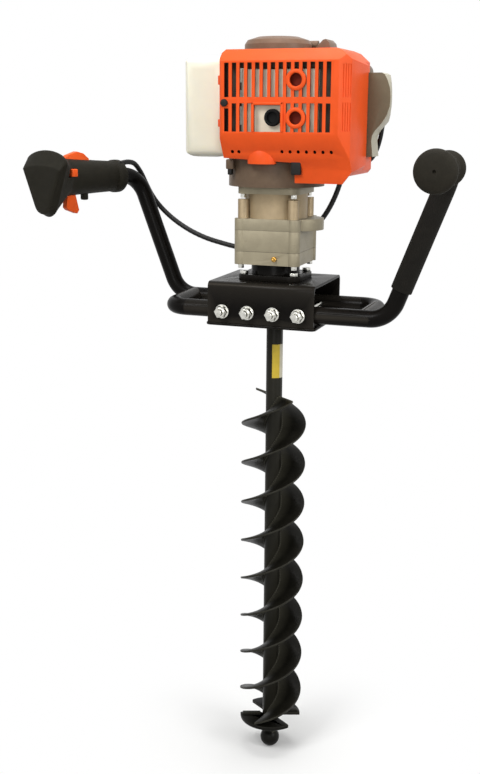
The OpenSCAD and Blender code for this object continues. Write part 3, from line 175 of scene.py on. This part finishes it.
# A pale copy of the cover plastic: painted highlight along the cover's right side
COVER_HIGHLIGHT = material("cover_highlight_plastic", srgb(178, 172, 152), 0.45, spread=0.05, grit=1500, bump=0.15,
                     spec=0.3)
ZINC = material("bright_zinc", srgb(206, 205, 198), 0.2, 1.0, spread=0.2, grain=260, grit=900, bump=0.12,
                fleck=srgb(120, 118, 110), fleck_share=0.08, fleck_scale=320)
STEEL = material("machined_steel", srgb(150, 150, 146), 0.32, 1.0, spread=0.12, grain=200, grit=1200,
                 bump=0.06)
BRASS = material("brass", srgb(196, 152, 76), 0.28, 1.0, spread=0.12, grain=300, bump=0.05)
MUFFLER = material("muffler_plate", srgb(250, 236, 212), 0.46, 0.0, spread=0.09, grain=50, grit=900,
                   bump=0.12)
# Black for the joint sealant and the muffler's outlet, and painted shade on the plates behind the vent holes
SOOT_AND_SHADE = material("soot_black_and_shade", srgb(15, 14, 13), 0.62, spread=0.3, grit=1200, bump=0.2, spec=0.12)
CREAM = material("tank_cream", srgb(243, 239, 219), 0.4, spread=0.03, grain=25, grit=900, bump=0.06,
                 spec=0.3)
LABEL = material("label_yellow", srgb(206, 178, 58), 0.38, spread=0.07, grain=120, grit=800, bump=0.02)
LABEL_PALE = material("label_pale", srgb(208, 203, 180), 0.38, spread=0.07, grain=120, grit=800,
                      bump=0.02)
DARK = material("dark_plastic", srgb(27, 26, 24), 0.5, spread=0.15, grit=1500, bump=0.15, spec=0.2)
FOAM = material("filter_foam", srgb(46, 46, 44), 0.9, spread=0.3, grain=700, grit=2500, bump=0.6,
                spec=0.1)
ROPE = material("rope_fibre", srgb(214, 208, 190), 0.85, spread=0.2, grain=1500, grit=2600, bump=0.5)
HOSE = material("cable_sleeve", srgb(20, 19, 18), 0.45, spread=0.2, grit=900, bump=0.1, spec=0.25)
CREAM.node_tree.nodes["Principled BSDF"].inputs["Subsurface Weight"].default_value = 0.35
CREAM.node_tree.nodes["Principled BSDF"].inputs["Subsurface Radius"].default_value = (0.012, 0.011, 0.008)


# Pieces
def put(name, mesh, body, *mats):
    ob = bpy.data.objects.new(name, mesh)
    bpy.context.scene.collection.objects.link(ob)
    for m in mats:
        mesh.materials.append(m)
    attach(ob, body)
    return ob


def smooth(mesh, angle=35):
    for p in mesh.polygons:
        p.use_smooth = True
    mesh.set_sharp_from_angle(angle=math.radians(angle))


def mesh_from(name, verts, faces, angle=40):
    me = bpy.data.meshes.new(name)
    me.from_pydata([tuple(c * MM for c in v) for v in verts], [], faces)
    bm = bmesh.new()
    bm.from_mesh(me)
    bmesh.ops.recalc_face_normals(bm, faces=bm.faces)
    bm.to_mesh(me)
    bm.free()
    smooth(me, angle)
    return me


def settle(ob):
    """Applies an object's modifiers to its mesh."""
    bpy.context.view_layer.update()
    graph = bpy.context.evaluated_depsgraph_get()
    done = bpy.data.meshes.new_from_object(ob.evaluated_get(graph))
    old = ob.data
    ob.modifiers.clear()
    ob.data = done
    bpy.data.meshes.remove(old)
    return ob


def node_mesh(node, name):
    src = nodes[node]
    bm = bmesh.new()
    bm.from_mesh(src.data)
    bm.transform(src.matrix_world)
    bmesh.ops.remove_doubles(bm, verts=bm.verts, dist=4e-6)
    bmesh.ops.dissolve_limit(bm, angle_limit=math.radians(0.6), verts=bm.verts, edges=bm.edges)
    me = bpy.data.meshes.new(name)
    bm.to_mesh(me)
    bm.free()
    return me


def dress(node, mat, edge=0.6, steps=2, angle=32, choose=None, other=()):
    """A copy of a solid with rounded edges; choose(centre in mm, normal) gives a face's material slot."""
    me = node_mesh(node, node + "_form")
    ob = put(node + "_form", me, body_of[node], mat, *other)
    for p in me.polygons:
        p.use_smooth = True
    if edge:
        mod = ob.modifiers.new("edges", "BEVEL")
        mod.width = edge * MM
        mod.segments = steps
        mod.limit_method = "ANGLE"
        mod.angle_limit = math.radians(angle)
        mod.use_clamp_overlap = True
        settle(ob)
        for p in ob.data.polygons:
            p.use_smooth = True
    ob.data.set_sharp_from_angle(angle=math.radians(angle))
    if choose:
        for p in ob.data.polygons:
            p.material_index = choose(p.center / MM, p.normal)
    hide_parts(node)
    return ob


def revolve(profile, axis_point, axis, sides=72):
    """Mesh data of a profile [(r, t), ...] turned round an axis."""
    z = Vector(axis).normalized()
    x = z.orthogonal().normalized()
    y = z.cross(x)
    o = Vector(axis_point)
    verts, faces = [], []
    for r, t in profile:
        for k in range(sides):
            a = 2 * math.pi * k / sides
            verts.append(o + z * t + (x * math.cos(a) + y * math.sin(a)) * max(r, 0.001))
    for i in range(len(profile) - 1):
        for k in range(sides):
            n = (k + 1) % sides
            faces.append((i * sides + k, i * sides + n, (i + 1) * sides + n, (i + 1) * sides + k))
    faces.append(tuple(range(sides))[::-1])
    faces.append(tuple((len(profile) - 1) * sides + k for k in range(sides)))
    return verts, faces


def smooth_path(points, per=6):
    """A smooth curve through the points, per steps between neighbours."""
    p = [Vector(q) for q in points]
    p = [2 * p[0] - p[1]] + p + [2 * p[-1] - p[-2]]
    out = []
    for i in range(1, len(p) - 2):
        for k in range(per):
            t = k / per
            a, b, c, d = p[i - 1], p[i], p[i + 1], p[i + 2]
            out.append(0.5 * ((2 * b) + (c - a) * t + (2 * a - 5 * b + 4 * c - d) * t * t
                              + (3 * b - a - 3 * c + d) * t ** 3))
    out.append(p[-2])
    return out


def tube(path, radius, sides=16, ripple=0.0, ripple_every=3.0):
    """Mesh data of a round tube along a path, with optional fine rings."""
    last = len(path) - 1
    tangents = [(path[min(i + 1, last)] - path[max(i - 1, 0)]).normalized() for i in range(last + 1)]
    n = tangents[0].orthogonal().normalized()
    verts, faces, run = [], [], 0.0
    for i, (p, t) in enumerate(zip(path, tangents)):
        if i:
            run += (p - path[i - 1]).length
        n = (n - t * n.dot(t)).normalized()
        b = t.cross(n)
        r = radius * (1 - ripple * (0.5 + 0.5 * math.cos(2 * math.pi * run / ripple_every)))
        for k in range(sides):
            a = 2 * math.pi * k / sides
            verts.append(p + (n * math.cos(a) + b * math.sin(a)) * r)
    for i in range(len(path) - 1):
        for k in range(sides):
            m = (k + 1) % sides
            faces.append((i * sides + k, i * sides + m, (i + 1) * sides + m, (i + 1) * sides + k))
    faces.append(tuple(range(sides))[::-1])
    faces.append(tuple((len(path) - 1) * sides + k for k in range(sides)))
    return verts, faces


def rounded_box(name, low, high, radius, steps=4):
    bm = bmesh.new()
    bmesh.ops.create_cube(bm, size=1)
    for v in bm.verts:
        v.co = Vector([(low[i] if v.co[i] < 0 else high[i]) * MM for i in range(3)])
    bmesh.ops.bevel(bm, geom=list(bm.edges), offset=radius * MM, segments=steps, profile=0.5,
                    affect="EDGES")
    me = bpy.data.meshes.new(name)
    bm.to_mesh(me)
    bm.free()
    smooth(me, 45)
    return me


def cut(ob, cutters):
    """Boolean difference with temporary meshes."""
    for i, me in enumerate(cutters):
        tool = bpy.data.objects.new(f"cutter{i}", me)
        bpy.context.scene.collection.objects.link(tool)
        mod = ob.modifiers.new(f"cut{i}", "BOOLEAN")
        mod.operation = "DIFFERENCE"
        mod.solver = "EXACT"
        mod.object = tool
        settle(ob)
        bpy.data.objects.remove(tool)
        bpy.data.meshes.remove(me)
    return ob


# Shared sizes, the same as in the source
CYL_Z = 1040
CLAMP_X, CLAMP_Z, NUT_END_Y = (-57.9, -19.3, 19.3, 57.9), 740, -82
CASE_JOINTS_Z, NECK_Z = (826, 857), (874.5, 908)
BOSS_X, BOSS_Z = 56.7, (1065.6, 1015.6)
LEAN = math.radians(20.5324)
BEND = math.radians(83.5097)
SPLAY = math.asin(math.cos(BEND) / math.sin(LEAN))
LEFT_CORNER = Vector((-(179.5 + 186.5 * math.tan(LEAN)), 55.2, 926.5))
RIGHT_CORNER = Vector((186 + 213 * math.tan(LEAN), -55.2, 953))
GRIP_X = Vector((-math.sin(SPLAY), -math.cos(SPLAY), 0))
GRIP_Z = Vector((0, 0, 1))
GRIP_Y = GRIP_Z.cross(GRIP_X)


def in_grip(x, y, z):
    return LEFT_CORNER + GRIP_X * x + GRIP_Y * y + GRIP_Z * z


# Cords come first: the throttle cable and the ignition lead
def joined(points, a, b):
    n = len(points) - 1
    p = [Vector(q) for q in points]
    return [p[i] + (1 - i / n) * (Vector(a) - p[0]) + i / n * (Vector(b) - p[n]) for i in range(n + 1)]


CABLE = [(-263.5, 12.6, 945), (-260.5, 21, 946), (-256, 35, 947), (-252, 49, 943.5), (-248, 62, 930.5),
         (-243, 70, 913.5), (-236, 74, 897), (-225, 76, 881), (-210, 77, 866), (-191, 77, 852),
         (-168, 76, 839.5), (-142, 74.5, 829.5), (-115.5, 72.5, 823), (-88.5, 71, 818), (-60.5, 70, 817),
         (-33, 69, 819), (-6, 69, 825), (18, 69, 836), (38, 70, 852), (54, 70.5, 871), (66, 71, 892),
         (75, 72, 915), (81, 74, 940), (84, 76, 968), (84, 76, 988), (84, 76, 1004)]
CABLE_END = (84, 76, 1003.7)
LEAD = [(146, 18, 1040), (146, 24, 1039.5), (146.5, 30, 1035), (147.5, 33, 1024), (148, 33.5, 1011),
        (146.5, 34, 998), (143.5, 36, 984), (138, 41, 970), (130, 49, 959), (119, 56, 952), (105, 61, 948),
        (88, 63, 946), (73, 62, 945), (61, 57.5, 945), (52.5, 52, 945), (46, 46, 945)]
COIL_R, COIL_Z = 65.1, 945


def add_cords():
    start = LEFT_CORNER + GRIP_X * 44.4 + GRIP_Z * 18.5
    path = smooth_path(joined(CABLE, start, CABLE_END), 10)
    verts, faces = tube(path, 4.0, 16, 0.06, 4.2)
    sleeve = mesh_from("throttle_cable_sleeve", verts, faces, 60)
    cable = put("throttle_cable_sleeve", sleeve, "frame", HOSE)
    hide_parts("throttle_cable")
    coil_end = COIL_R * math.cos(math.radians(45))
    path = smooth_path(joined(LEAD, LEAD[0], (coil_end, coil_end, COIL_Z)), 10)
    verts, faces = tube(path, 3.2, 14)
    lead = put("ignition_lead", mesh_from("ignition_lead", verts, faces, 60), "frame", HOSE)
    boot_v, boot_f = revolve([(4.3, 129), (9, 129), (10, 130), (10, 146), (9.4, 149.5), (7, 152), (0, 152)],
                             (0, 0, CYL_Z), (1, 0, 0), 36)
    boot = put("plug_boot", mesh_from("plug_boot", boot_v, boot_f, 50), "frame", DARK)
    neck_rings = [(6.4, 6), (6.4, 12), (5.6, 13), (6.0, 14), (5.2, 15.2), (5.6, 16.4), (4.6, 18)]
    neck_v, neck_f = revolve(neck_rings, (146, 0, CYL_Z), (0, 1, 0), 28)
    neck = put("plug_boot_neck", mesh_from("plug_boot_neck", neck_v, neck_f, 50), "frame", DARK)
    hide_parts("plug_lead")


# Auger bit
def add_bit():
    z0, top, pitch, ri, ro, end_angle = 60.4, 599.0, 128.8, 12.62, 50.0, -37
    mid = 0.5 * (ri + ro)
    n = round((top - z0) / pitch * 96)
    for k, turn in enumerate((0, 180)):
        verts, faces = [], []
        for i in range(n + 1):
            z = z0 + (top - z0) * i / n
            a = math.radians(end_angle + turn + 360 * (z - top) / pitch)
            wave = 0.3 * math.sin(2.1 * a) + 0.25 * math.sin(0.9 * a + 1 + turn)
            ring = [(ri, 0.1), (mid, 0.1 + 0.4 * wave), (ro - 1.4, 0.1 + wave), (ro - 0.4, 0.6 + wave),
                    (ro, 2.0 + wave), (ro - 0.4, 3.4 + wave), (ro - 1.4, 3.9 + wave),
                    (mid, 3.9 + 0.4 * wave), (ri, 3.9)]
            for r, h in ring:
                verts.append((r * math.cos(a), r * math.sin(a), z + h))
        m = len(ring)
        for i in range(n):
            for j in range(m):
                o = (j + 1) % m
                faces.append((i * m + j, i * m + o, (i + 1) * m + o, (i + 1) * m + j))
        faces.append(tuple(range(m))[::-1])
        faces.append(tuple(n * m + j for j in range(m)))
        flight = put(f"flight_plate_{k}", mesh_from("flight_plate", verts, faces, 50), "auger", BIT_BLACK)
        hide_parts("auger_flight")
        for name, lift in (("top", 4.6), ("low", -0.6)):
            path = []
            for i in range(n * 2 + 1):
                z = z0 + 3 + (top - z0 - 6) * i / (n * 2)
                a = math.radians(end_angle + turn + 360 * (z - top) / pitch)
                path.append(Vector((13.1 * math.cos(a), 13.1 * math.sin(a), z + lift)))
            v, f = tube(path, 1.35, 6, 0.28, 3.4)
            put(f"flight_weld_{name}_{k}", mesh_from("flight_weld", v, f, 80), "auger", BIT_BLACK)
    dress("auger_tube", BIT_BLACK, 0.5)
    dress("cutter_blades", BIT_BLACK, 0.9, 3)
    dress("auger_tip", BIT_BLACK, 1.2, 3)
    dress("drive_pin", ZINC, 0.4)
    # The sticker's place stays blank: plain yellow with a plain pale strip
    for name, mat, a0, a1 in (("tube_label", LABEL, -88, -34), ("tube_label_strip", LABEL_PALE, -34, 2)):
        verts, faces = [], []
        cols = 14
        for j, z in enumerate((631, 683)):
            for r in (12.62, 12.9):
                for i in range(cols + 1):
                    a = math.radians(a0 + (a1 - a0) * i / cols)
                    verts.append((r * math.cos(a), r * math.sin(a), z))
        row = cols + 1
        for i in range(cols):
            for p, q in ((0, 2 * row), (row, 3 * row), (0, row), (2 * row, 3 * row)):
                faces.append((p + i, p + i + 1, q + i + 1, q + i))
        faces += [(0, row, 3 * row, 2 * row), (cols, row + cols, 3 * row + cols, 2 * row + cols)]
        put(name, mesh_from(name, verts, faces, 40), "auger", mat)


# Bracket and handles
def add_frame():
    dress("bracket_channel", BLACK, 0.8, 2)
    dress("bracket_plate", BLACK, 1.4, 3)
    dress("clamp_nuts", ZINC, 0.7, 2)
    dress("clamp_bolts", ZINC, 0.6, 2)
    crown = [(5.2, 0), (7.6, 0), (7.9, 0.5), (7.4, 1.6), (5.6, 2.2), (5.25, 1.9)]
    for i, x in enumerate(CLAMP_X):
        v, f = revolve(crown, (x, NUT_END_Y, CLAMP_Z), (0, -1, 0), 40)
        put(f"nut_crown_{i}", mesh_from("nut_crown", v, f, 30), "frame", ZINC)
    dress("left_handle", BLACK, 0.0)
    dress("right_handle", BLACK, 0.0)
    dress("arm_sleeve", SLEEVE, 0.8, 2)
    # Right grip: rubber with fine ribs between the two flanges, and a centre mark in the end disc
    a, b = 40.0, 131.0
    profile = [(12.65, a), (21.5, a), (23, a + 0.8), (23.5, a + 2.4), (23.3, a + 4.6), (22, a + 7),
               (19.4, a + 10)]
    x = a + 13
    while x < b - 14:
        profile += [(17.6, x), (18.3, x + 0.6), (18.3, x + 2.0), (17.6, x + 2.6)]
        x += 3.6
    profile += [(17.7, b - 11), (19.6, b - 6.5), (23, b - 2.2), (26.8, b + 0.2), (27.8, b + 1.6),
                (28, b + 3.4), (27.6, b + 6), (25.6, b + 9), (21.5, b + 11.4), (15, b + 13),
                (7, b + 13.8), (2.6, b + 14),
                (2.2, b + 13.2), (1.2, b + 11), (0, b + 10.6)]
    v, f = revolve(profile, RIGHT_CORNER, (0, -1, 0), 96)
    grip = put("right_grip_rubber", mesh_from("right_grip_rubber", v, f, 50), "frame", RUBBER)
    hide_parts("right_grip")


# Throttle grip
def add_throttle_grip():
    def oval(w, h, c=0.0):
        return ((w, h, c),)

    guard = ((43, 18, 24), (20, 20, -34))
    face = ((38, 7, 14), (17, 16, -31))
    # Distance along the tube, section as one or two ovals whose common hull is drawn, and its scale
    rows = [(45, oval(21.5, 21.5), 1), (45.6, oval(23.6, 23.6), 1), (47, oval(24.8, 24.8), 1),
            (52, oval(25, 25), 1), (56.5, oval(24.8, 24.8), 1), (58.6, oval(23.2, 23.8), 1),
            (61, oval(20.2, 23.1, 0.1), 1),
            (95, oval(20.6, 24.5, 0.8), 1), (151, oval(21.4, 27.4, 2), 1), (157, oval(21.5, 27.9, 2), 1),
            (162, oval(24.0, 29.6, 2), 1), (186.8, guard, 0.95), (188.4, guard, 0.985), (190, guard, 1),
            (191.4, guard, 0.99), (192.6, guard, 0.965), (201.2, face, 1.05), (202.4, face, 1.0),
            (203, face, 0.93), (202.2, face, 0.6)]
    sides = 120
    verts, faces = [], []
    for x, ovals, scale in rows:
        for k in range(sides):
            a = 2 * math.pi * (k + 0.5) / sides
            c, s = math.cos(a), math.sin(a)
            w, h, mid = max(ovals, key=lambda o: math.hypot(o[0] * c, o[1] * s) + o[2] * s)
            reach = math.hypot(w * c, h * s)
            y, z = w * w * c / reach, h * h * s / reach + mid
            seam = 0.98 if abs(c) < 0.03 and 60 < x < 160 else 1.0
            verts.append(in_grip(x, scale * y, scale * z * seam))
    for i in range(len(rows) - 1):
        for k in range(sides):
            n = (k + 1) % sides
            faces.append((i * sides + k, i * sides + n, (i + 1) * sides + n, (i + 1) * sides + k))
    faces.append(tuple(range(sides))[::-1])
    faces.append(tuple((len(rows) - 1) * sides + k for k in range(sides)))
    me = mesh_from("throttle_grip_body", verts, faces, 32)
    ob = put("throttle_grip_body", me, "frame", GRIP)

    def slot_box(x0, x1, y0, y1, z0, z1):
        m = bpy.data.meshes.new("slot")
        c = [in_grip(x, y, z) * MM for x in (x0, x1) for y in (y0, y1) for z in (z0, z1)]
        m.from_pydata(c, [], [(0, 1, 3, 2), (4, 6, 7, 5), (0, 4, 5, 1), (2, 3, 7, 6), (0, 2, 6, 4),
                              (1, 5, 7, 3)])
        return m

    bore_v, bore_f = revolve([(12.65, 20), (12.65, 104.3)], LEFT_CORNER, GRIP_X, 48)
    bore = mesh_from("bore", bore_v, bore_f)
    cut(ob, [slot_box(105, 169, -5.1, 5.1, 9, 60), slot_box(125, 161, -5.1, 5.1, -70, -17),
             slot_box(151, 177, 13, 60, 3.2, 15.8), slot_box(125, 161, -5.1, 5.1, -17.1, 9.1), bore])
    smooth(ob.data, 32)
    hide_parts("throttle_grip_outer", "throttle_grip_inner")
    # The stop below the trigger's free end, moulded on the grip
    nub = rounded_box("trigger_stop", (0, 0, 0), (9, 10, 12), 2.2, 4)
    nub.transform(Matrix.Translation(in_grip(113, -5, -33) * MM) @ Matrix(
        ((GRIP_X.x, GRIP_Y.x, 0, 0), (GRIP_X.y, GRIP_Y.y, 0, 0), (0, 0, 1, 0), (0, 0, 0, 1))))
    put("trigger_stop", nub, "frame", GRIP)
    dress("throttle_trigger", ORANGE_LEVER, 1.6, 3)
    dress("throttle_lock", ORANGE_LEVER, 1.6, 3)
    dress("stop_switch", ORANGE_LEVER, 1.2, 3)


# Gearbox
def add_gearbox():
    dress("gearbox_foot", BLACK, 1.2, 3)
    dress("foot_bolts", ZINC, 0.5, 2)
    # The rounded edges at the two joints hold dark gasket sealant; the neck gets a lighter copy of the alloy,
    # a painted highlight
    def sealant_and_neck_highlight(c, n):
        if min(abs(c.z - z) for z in CASE_JOINTS_Z) < 0.75:
            return 1
        return 2 if NECK_Z[0] < c.z < NECK_Z[1] else 0

    for n in ("gearcase_lower", "gearcase_middle", "gearcase_upper"):
        dress(n, ALLOY, 1.0, 2, choose=sealant_and_neck_highlight, other=(SOOT_AND_SHADE, ALLOY_NECK_HIGHLIGHT))
    dress("gearbox_bolts", ZINC, 0.5, 2)
    dress("grease_nipple", BRASS, 0.2)
    for n in ("clutch_drum", "idler_gear", "output_shaft", "output_gear", "ball_bearings"):
        dress(n, STEEL, 0.15, 1)


# Engine
def cowl_shade_faces(c, n):
    """1 for the faces that look into the cowl and for the slot walls, which get the painted shade."""
    if c.y > -96.4 and n.y > 0.5 and c.y < -60:
        return 1
    if n.z < -0.5 and c.z > 1060 or n.x > 0.6 and c.x < -30 or n.x < -0.6 and c.x > 100:
        return 1
    return 1 if c.y > -96.6 and c.y < -92 and abs(n.y) < 0.4 else 0


def add_cowl():
    ob = dress("engine_cowl", ORANGE, 1.0, 3, choose=cowl_shade_faces, other=(ORANGE_SHADE,))
    # Shallow grooves down the corner
    tools = []
    for z0, z1 in ((1043, 1086), (998, 1036)):
        for i in range(4):
            me = rounded_box("groove", (-0.75, -2, z0), (0.75, 1.0, z1), 0.5, 2)
            at = Vector((121 + 2.7 * i, -92 + 2.7 * i, 0)) * MM
            me.transform(Matrix.Translation(at) @ Matrix.Rotation(math.radians(45), 4, "Z"))
            tools.append(me)
    cut(ob, tools)
    ob.data.set_sharp_from_angle(angle=math.radians(32))
    for i, z in enumerate(BOSS_Z):
        v, f = revolve([(8.7, -94), (8.7, -98.6), (9.2, -99.4), (10.4, -99.8), (12.6, -99.6), (13.8, -98.8),
                        (14.1, -97.4), (14.1, -94)], (BOSS_X, 0, z), (0, 1, 0), 56)
        put(f"cowl_ring_{i}", mesh_from("cowl_ring", v, f[:-2], 40), "frame", ORANGE)
        # The cup in each boss ring is painted shade, a dark copy of the orange
        cup = [(8.65, -94.2), (8.65, -89.6), (0.01, -89.6), (0.01, -89.2), (9.6, -89.2), (9.6, -94.2)]
        v, f = revolve(cup, (BOSS_X, 0, z), (0, 1, 0), 40)
        put(f"cowl_ring_shade_cup_{i}", mesh_from("cowl_ring_shade_cup", v, f[:-2], 40), "frame", ORANGE_SHADE)
    bars = ((-6.4, -2.6, 997, 1036.4), (35.6, 39.4, 997, 1036.4), (-6.4, 39.4, 1032.4, 1036.4))
    for i, (x0, x1, z0, z1) in enumerate(bars):
        bar = rounded_box("window_frame", (x0, -99.6, z0), (x1, -96.4, z1), 1.2, 3)
        put(f"window_frame_{i}", bar, "frame", ORANGE)
    for i, (z0, z1) in enumerate(((1059.5, 1072), (1003, 1013.5))):
        tab = rounded_box("cowl_tab", (-57.4, -92, z0), (-53, -80, z1), 1.2, 3)
        put(f"cowl_tab_{i}", tab, "frame", ORANGE)
    # Bulge below the window, and the clip in the notch beside the skirt
    hump = [(0.02, 979.6), (5, 979), (10.5, 976), (14, 971), (16, 964), (16.6, 957), (16.4, 953), (0.02, 953)]
    v, f = revolve(hump, (0, 0, 0), (0, 0, 1), 48)
    v = [Vector((2.5 + 1.25 * q.x, -76 + 0.82 * q.y, q.z)) for q in v]
    put("cowl_bulge", mesh_from("cowl_bulge", v, f[:-2], 50), "frame", ORANGE)
    put("cowl_clip", rounded_box("cowl_clip", (46, -80, 939), (60, -73, 958), 1.4, 3), "frame", DARK)
    put("case_lug", rounded_box("case_lug", (-57, -62, 944), (-45, -44, 958), 2, 3), "frame", BROWN)
    lug_bolt = rounded_box("case_lug_bolt", (-55, -60, 936), (-48.5, -52, 945), 1.6, 3)
    put("case_lug_bolt", lug_bolt, "frame", DARK)
    # Dark inner wall round the muffler: painted shade, dark sheets where the cowl's inside lies in shade
    walls = ((-50.5, 126, 1081.5, 1092), (64, 126, 992, 1082), (-50.5, -31, 992, 1082))
    for i, (x0, x1, z0, z1) in enumerate(walls):
        wall = rounded_box("cowl_shade_wall", (x0, -82, z0), (x1, -80, z1), 0.8, 2)
        put(f"cowl_shade_wall_{i}", wall, "frame", SOOTY_AND_SHADE)
    # Dark plates behind the lower vent holes: painted shade, dark sheets where there is only shade
    sides = ((0, 1, 2, 3), (7, 6, 5, 4), (0, 4, 5, 1), (1, 5, 6, 2), (2, 6, 7, 3), (3, 7, 4, 0))
    v, f = [], []
    for x0, x1, z in ((-44, -22, 969.5), (29, 112, 970.5)):
        n = len(v)
        v += [(x0, -79.5, z - 6), (x1, -79.5, z - 6), (x1, -79.5, z + 6), (x0, -79.5, z + 6),
              (x0, -78.5, z - 6), (x1, -78.5, z - 6), (x1, -78.5, z + 6), (x0, -78.5, z + 6)]
        f += [tuple(n + k for k in q) for q in sides]
    put("vent_shade_plate", mesh_from("vent_shade_plate", v, f, 30), "frame", SOOT_AND_SHADE)


def add_engine():
    dress("fan_case", BROWN, 1.2, 3)
    dress("flywheel_fan", ALLOY, 0.3, 1)
    for n in ("clutch_shoes", "crankshaft", "connecting_rod", "piston", "throttle_arm", "trigger_pins"):
        dress(n, STEEL, 0.3, 1)
    dress("crankcase", SOOTY_AND_SHADE, 0.8)
    dress("cylinder", SOOTY_AND_SHADE, 0.5)
    dress("spark_plug", ZINC, 0.3)
    # The plug cover's right-facing faces get the pale copy, a painted highlight
    dress("plug_cover", COVER, 1.6, 3, other=(COVER_HIGHLIGHT,),
          choose=lambda c, n: 1 if n.x > 0.45 or (n.x > 0.2 and c.x > 150) else 0)
    dress("ignition_coil", DARK, 0.8)
    dress("muffler", MUFFLER, 1.6, 3, choose=lambda c, n: 1 if c.y < -88.6 else 0, other=(SOOT_AND_SHADE,))
    dress("carburettor", ALLOY, 0.7)
    dress("choke_lever", DARK, 0.6)
    dress("primer_bulb", CREAM, 0.4)
    dress("air_filter_base", DARK, 0.8)
    dress("air_filter_element", FOAM, 1.0)
    dress("air_filter_cover", BROWN, 2.0, 3)
    dress("fuel_cap", DARK, 0.8)
    dress("recoil_housing", DOME, 1.0, 3)
    dress("starter_pulley", DARK, 0.5)
    dress("starter_handle", DOME, 1.8, 3)
    dress("cover_screws", DARK, 0.5)
    add_cowl()
    dress("fuel_tank", CREAM, 0.0, angle=40)
    rope_v, rope_f = tube([Vector((1 + 57 * i / 60, 26, 1117)) for i in range(61)], 2.0, 12, 0.12, 2.4)
    rope = bpy.data.objects.new("starter_cord", mesh_from("starter_cord", rope_v, rope_f, 60))
    bpy.context.scene.collection.objects.link(rope)
    rope.data.materials.append(ROPE)
    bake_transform(rope)
    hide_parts("starter_rope")


# Studio: white to the camera and in reflections, a plain light level for everything else
def white_rays(tree):
    """1 for camera, glossy and transmission rays, 0 for the rest."""
    path = tree.nodes.new("ShaderNodeLightPath")
    total = path.outputs["Is Camera Ray"]
    for kind in ("Is Glossy Ray", "Is Transmission Ray"):
        add = tree.nodes.new("ShaderNodeMath")
        add.operation = "MAXIMUM"
        tree.links.new(total, add.inputs[0])
        tree.links.new(path.outputs[kind], add.inputs[1])
        total = add.outputs[0]
    return total


def floor_material():
    m = material("pale_floor", (0.9, 0.9, 0.89), 0.9, spread=0.01, grain=3, grit=200, bump=0.01, spec=0.05)
    tree = m.node_tree
    shader, end = tree.nodes["Principled BSDF"], tree.nodes["Material Output"]
    glow = tree.nodes.new("ShaderNodeEmission")
    coord = tree.nodes.new("ShaderNodeTexCoord")
    reach = tree.nodes.new("ShaderNodeVectorMath")
    reach.operation = "LENGTH"
    tree.links.new(coord.outputs["Object"], reach.inputs[0])
    fade = tree.nodes.new("ShaderNodeMapRange")
    fade.interpolation_type = "SMOOTHSTEP"
    fade.inputs["From Min"].default_value = 0.03
    fade.inputs["From Max"].default_value = 0.32
    tree.links.new(reach.outputs["Value"], fade.inputs["Value"])
    white = white_rays(tree)
    tone = tree.nodes.new("ShaderNodeMix")
    tone.data_type = "RGBA"
    tone.inputs[6].default_value = (0.3, 0.3, 0.3, 1)
    tone.inputs[7].default_value = (0.9, 0.9, 0.89, 1)
    tree.links.new(white, tone.inputs[0])
    tree.links.new(tone.outputs[2], shader.inputs["Base Color"])
    both = tree.nodes.new("ShaderNodeMath")
    both.operation = "MULTIPLY"
    tree.links.new(white, both.inputs[0])
    tree.links.new(fade.outputs["Result"], both.inputs[1])
    mix = tree.nodes.new("ShaderNodeMixShader")
    tree.links.new(both.outputs[0], mix.inputs[0])
    tree.links.new(shader.outputs["BSDF"], mix.inputs[1])
    tree.links.new(glow.outputs["Emission"], mix.inputs[2])
    tree.links.new(mix.outputs["Shader"], end.inputs["Surface"])
    return m


# Name, place in metres, side of the square in metres, watts
LAMPS = (("key", (-0.9, -2.4, 2.9), 1.2, 56), ("front", (0.5, -3.0, 1.25), 0.9, 12),
         ("fill", (2.4, -0.9, 1.7), 1.2, 34), ("top", (0.1, 0.1, 3.1), 1.4, 36))


def add_studio():
    me = bpy.data.meshes.new("floor")
    s = 12
    me.from_pydata([(-s, -s, 0), (s, -s, 0), (s, s, 0), (-s, s, 0)], [], [(0, 1, 2, 3)])
    floor = bpy.data.objects.new("floor", me)
    bpy.context.scene.collection.objects.link(floor)
    me.materials.append(floor_material())
    world = bpy.data.worlds.new("studio")
    world.use_nodes = True
    tree = world.node_tree
    back = tree.nodes["Background"]
    back.inputs["Color"].default_value = (1, 1, 1, 1)
    level = tree.nodes.new("ShaderNodeMapRange")
    level.inputs["To Min"].default_value = 0.42
    level.inputs["To Max"].default_value = 1.0
    tree.links.new(white_rays(tree), level.inputs["Value"])
    tree.links.new(level.outputs["Result"], back.inputs["Strength"])
    bpy.context.scene.world = world
    for name, where, size, power in LAMPS:
        light = bpy.data.lights.new(name, "AREA")
        light.size = size
        light.energy = power
        ob = bpy.data.objects.new(name, light)
        ob.location = where
        ob.rotation_euler = (Vector((0, 0, 0.75)) - Vector(where)).to_track_quat("-Z", "Y").to_euler()
        bpy.context.scene.collection.objects.link(ob)
    bpy.context.scene.view_settings.view_transform = "Standard"


add_camera()
add_cords()
add_bit()
add_frame()
add_throttle_grip()
add_gearbox()
add_engine()
add_studio()
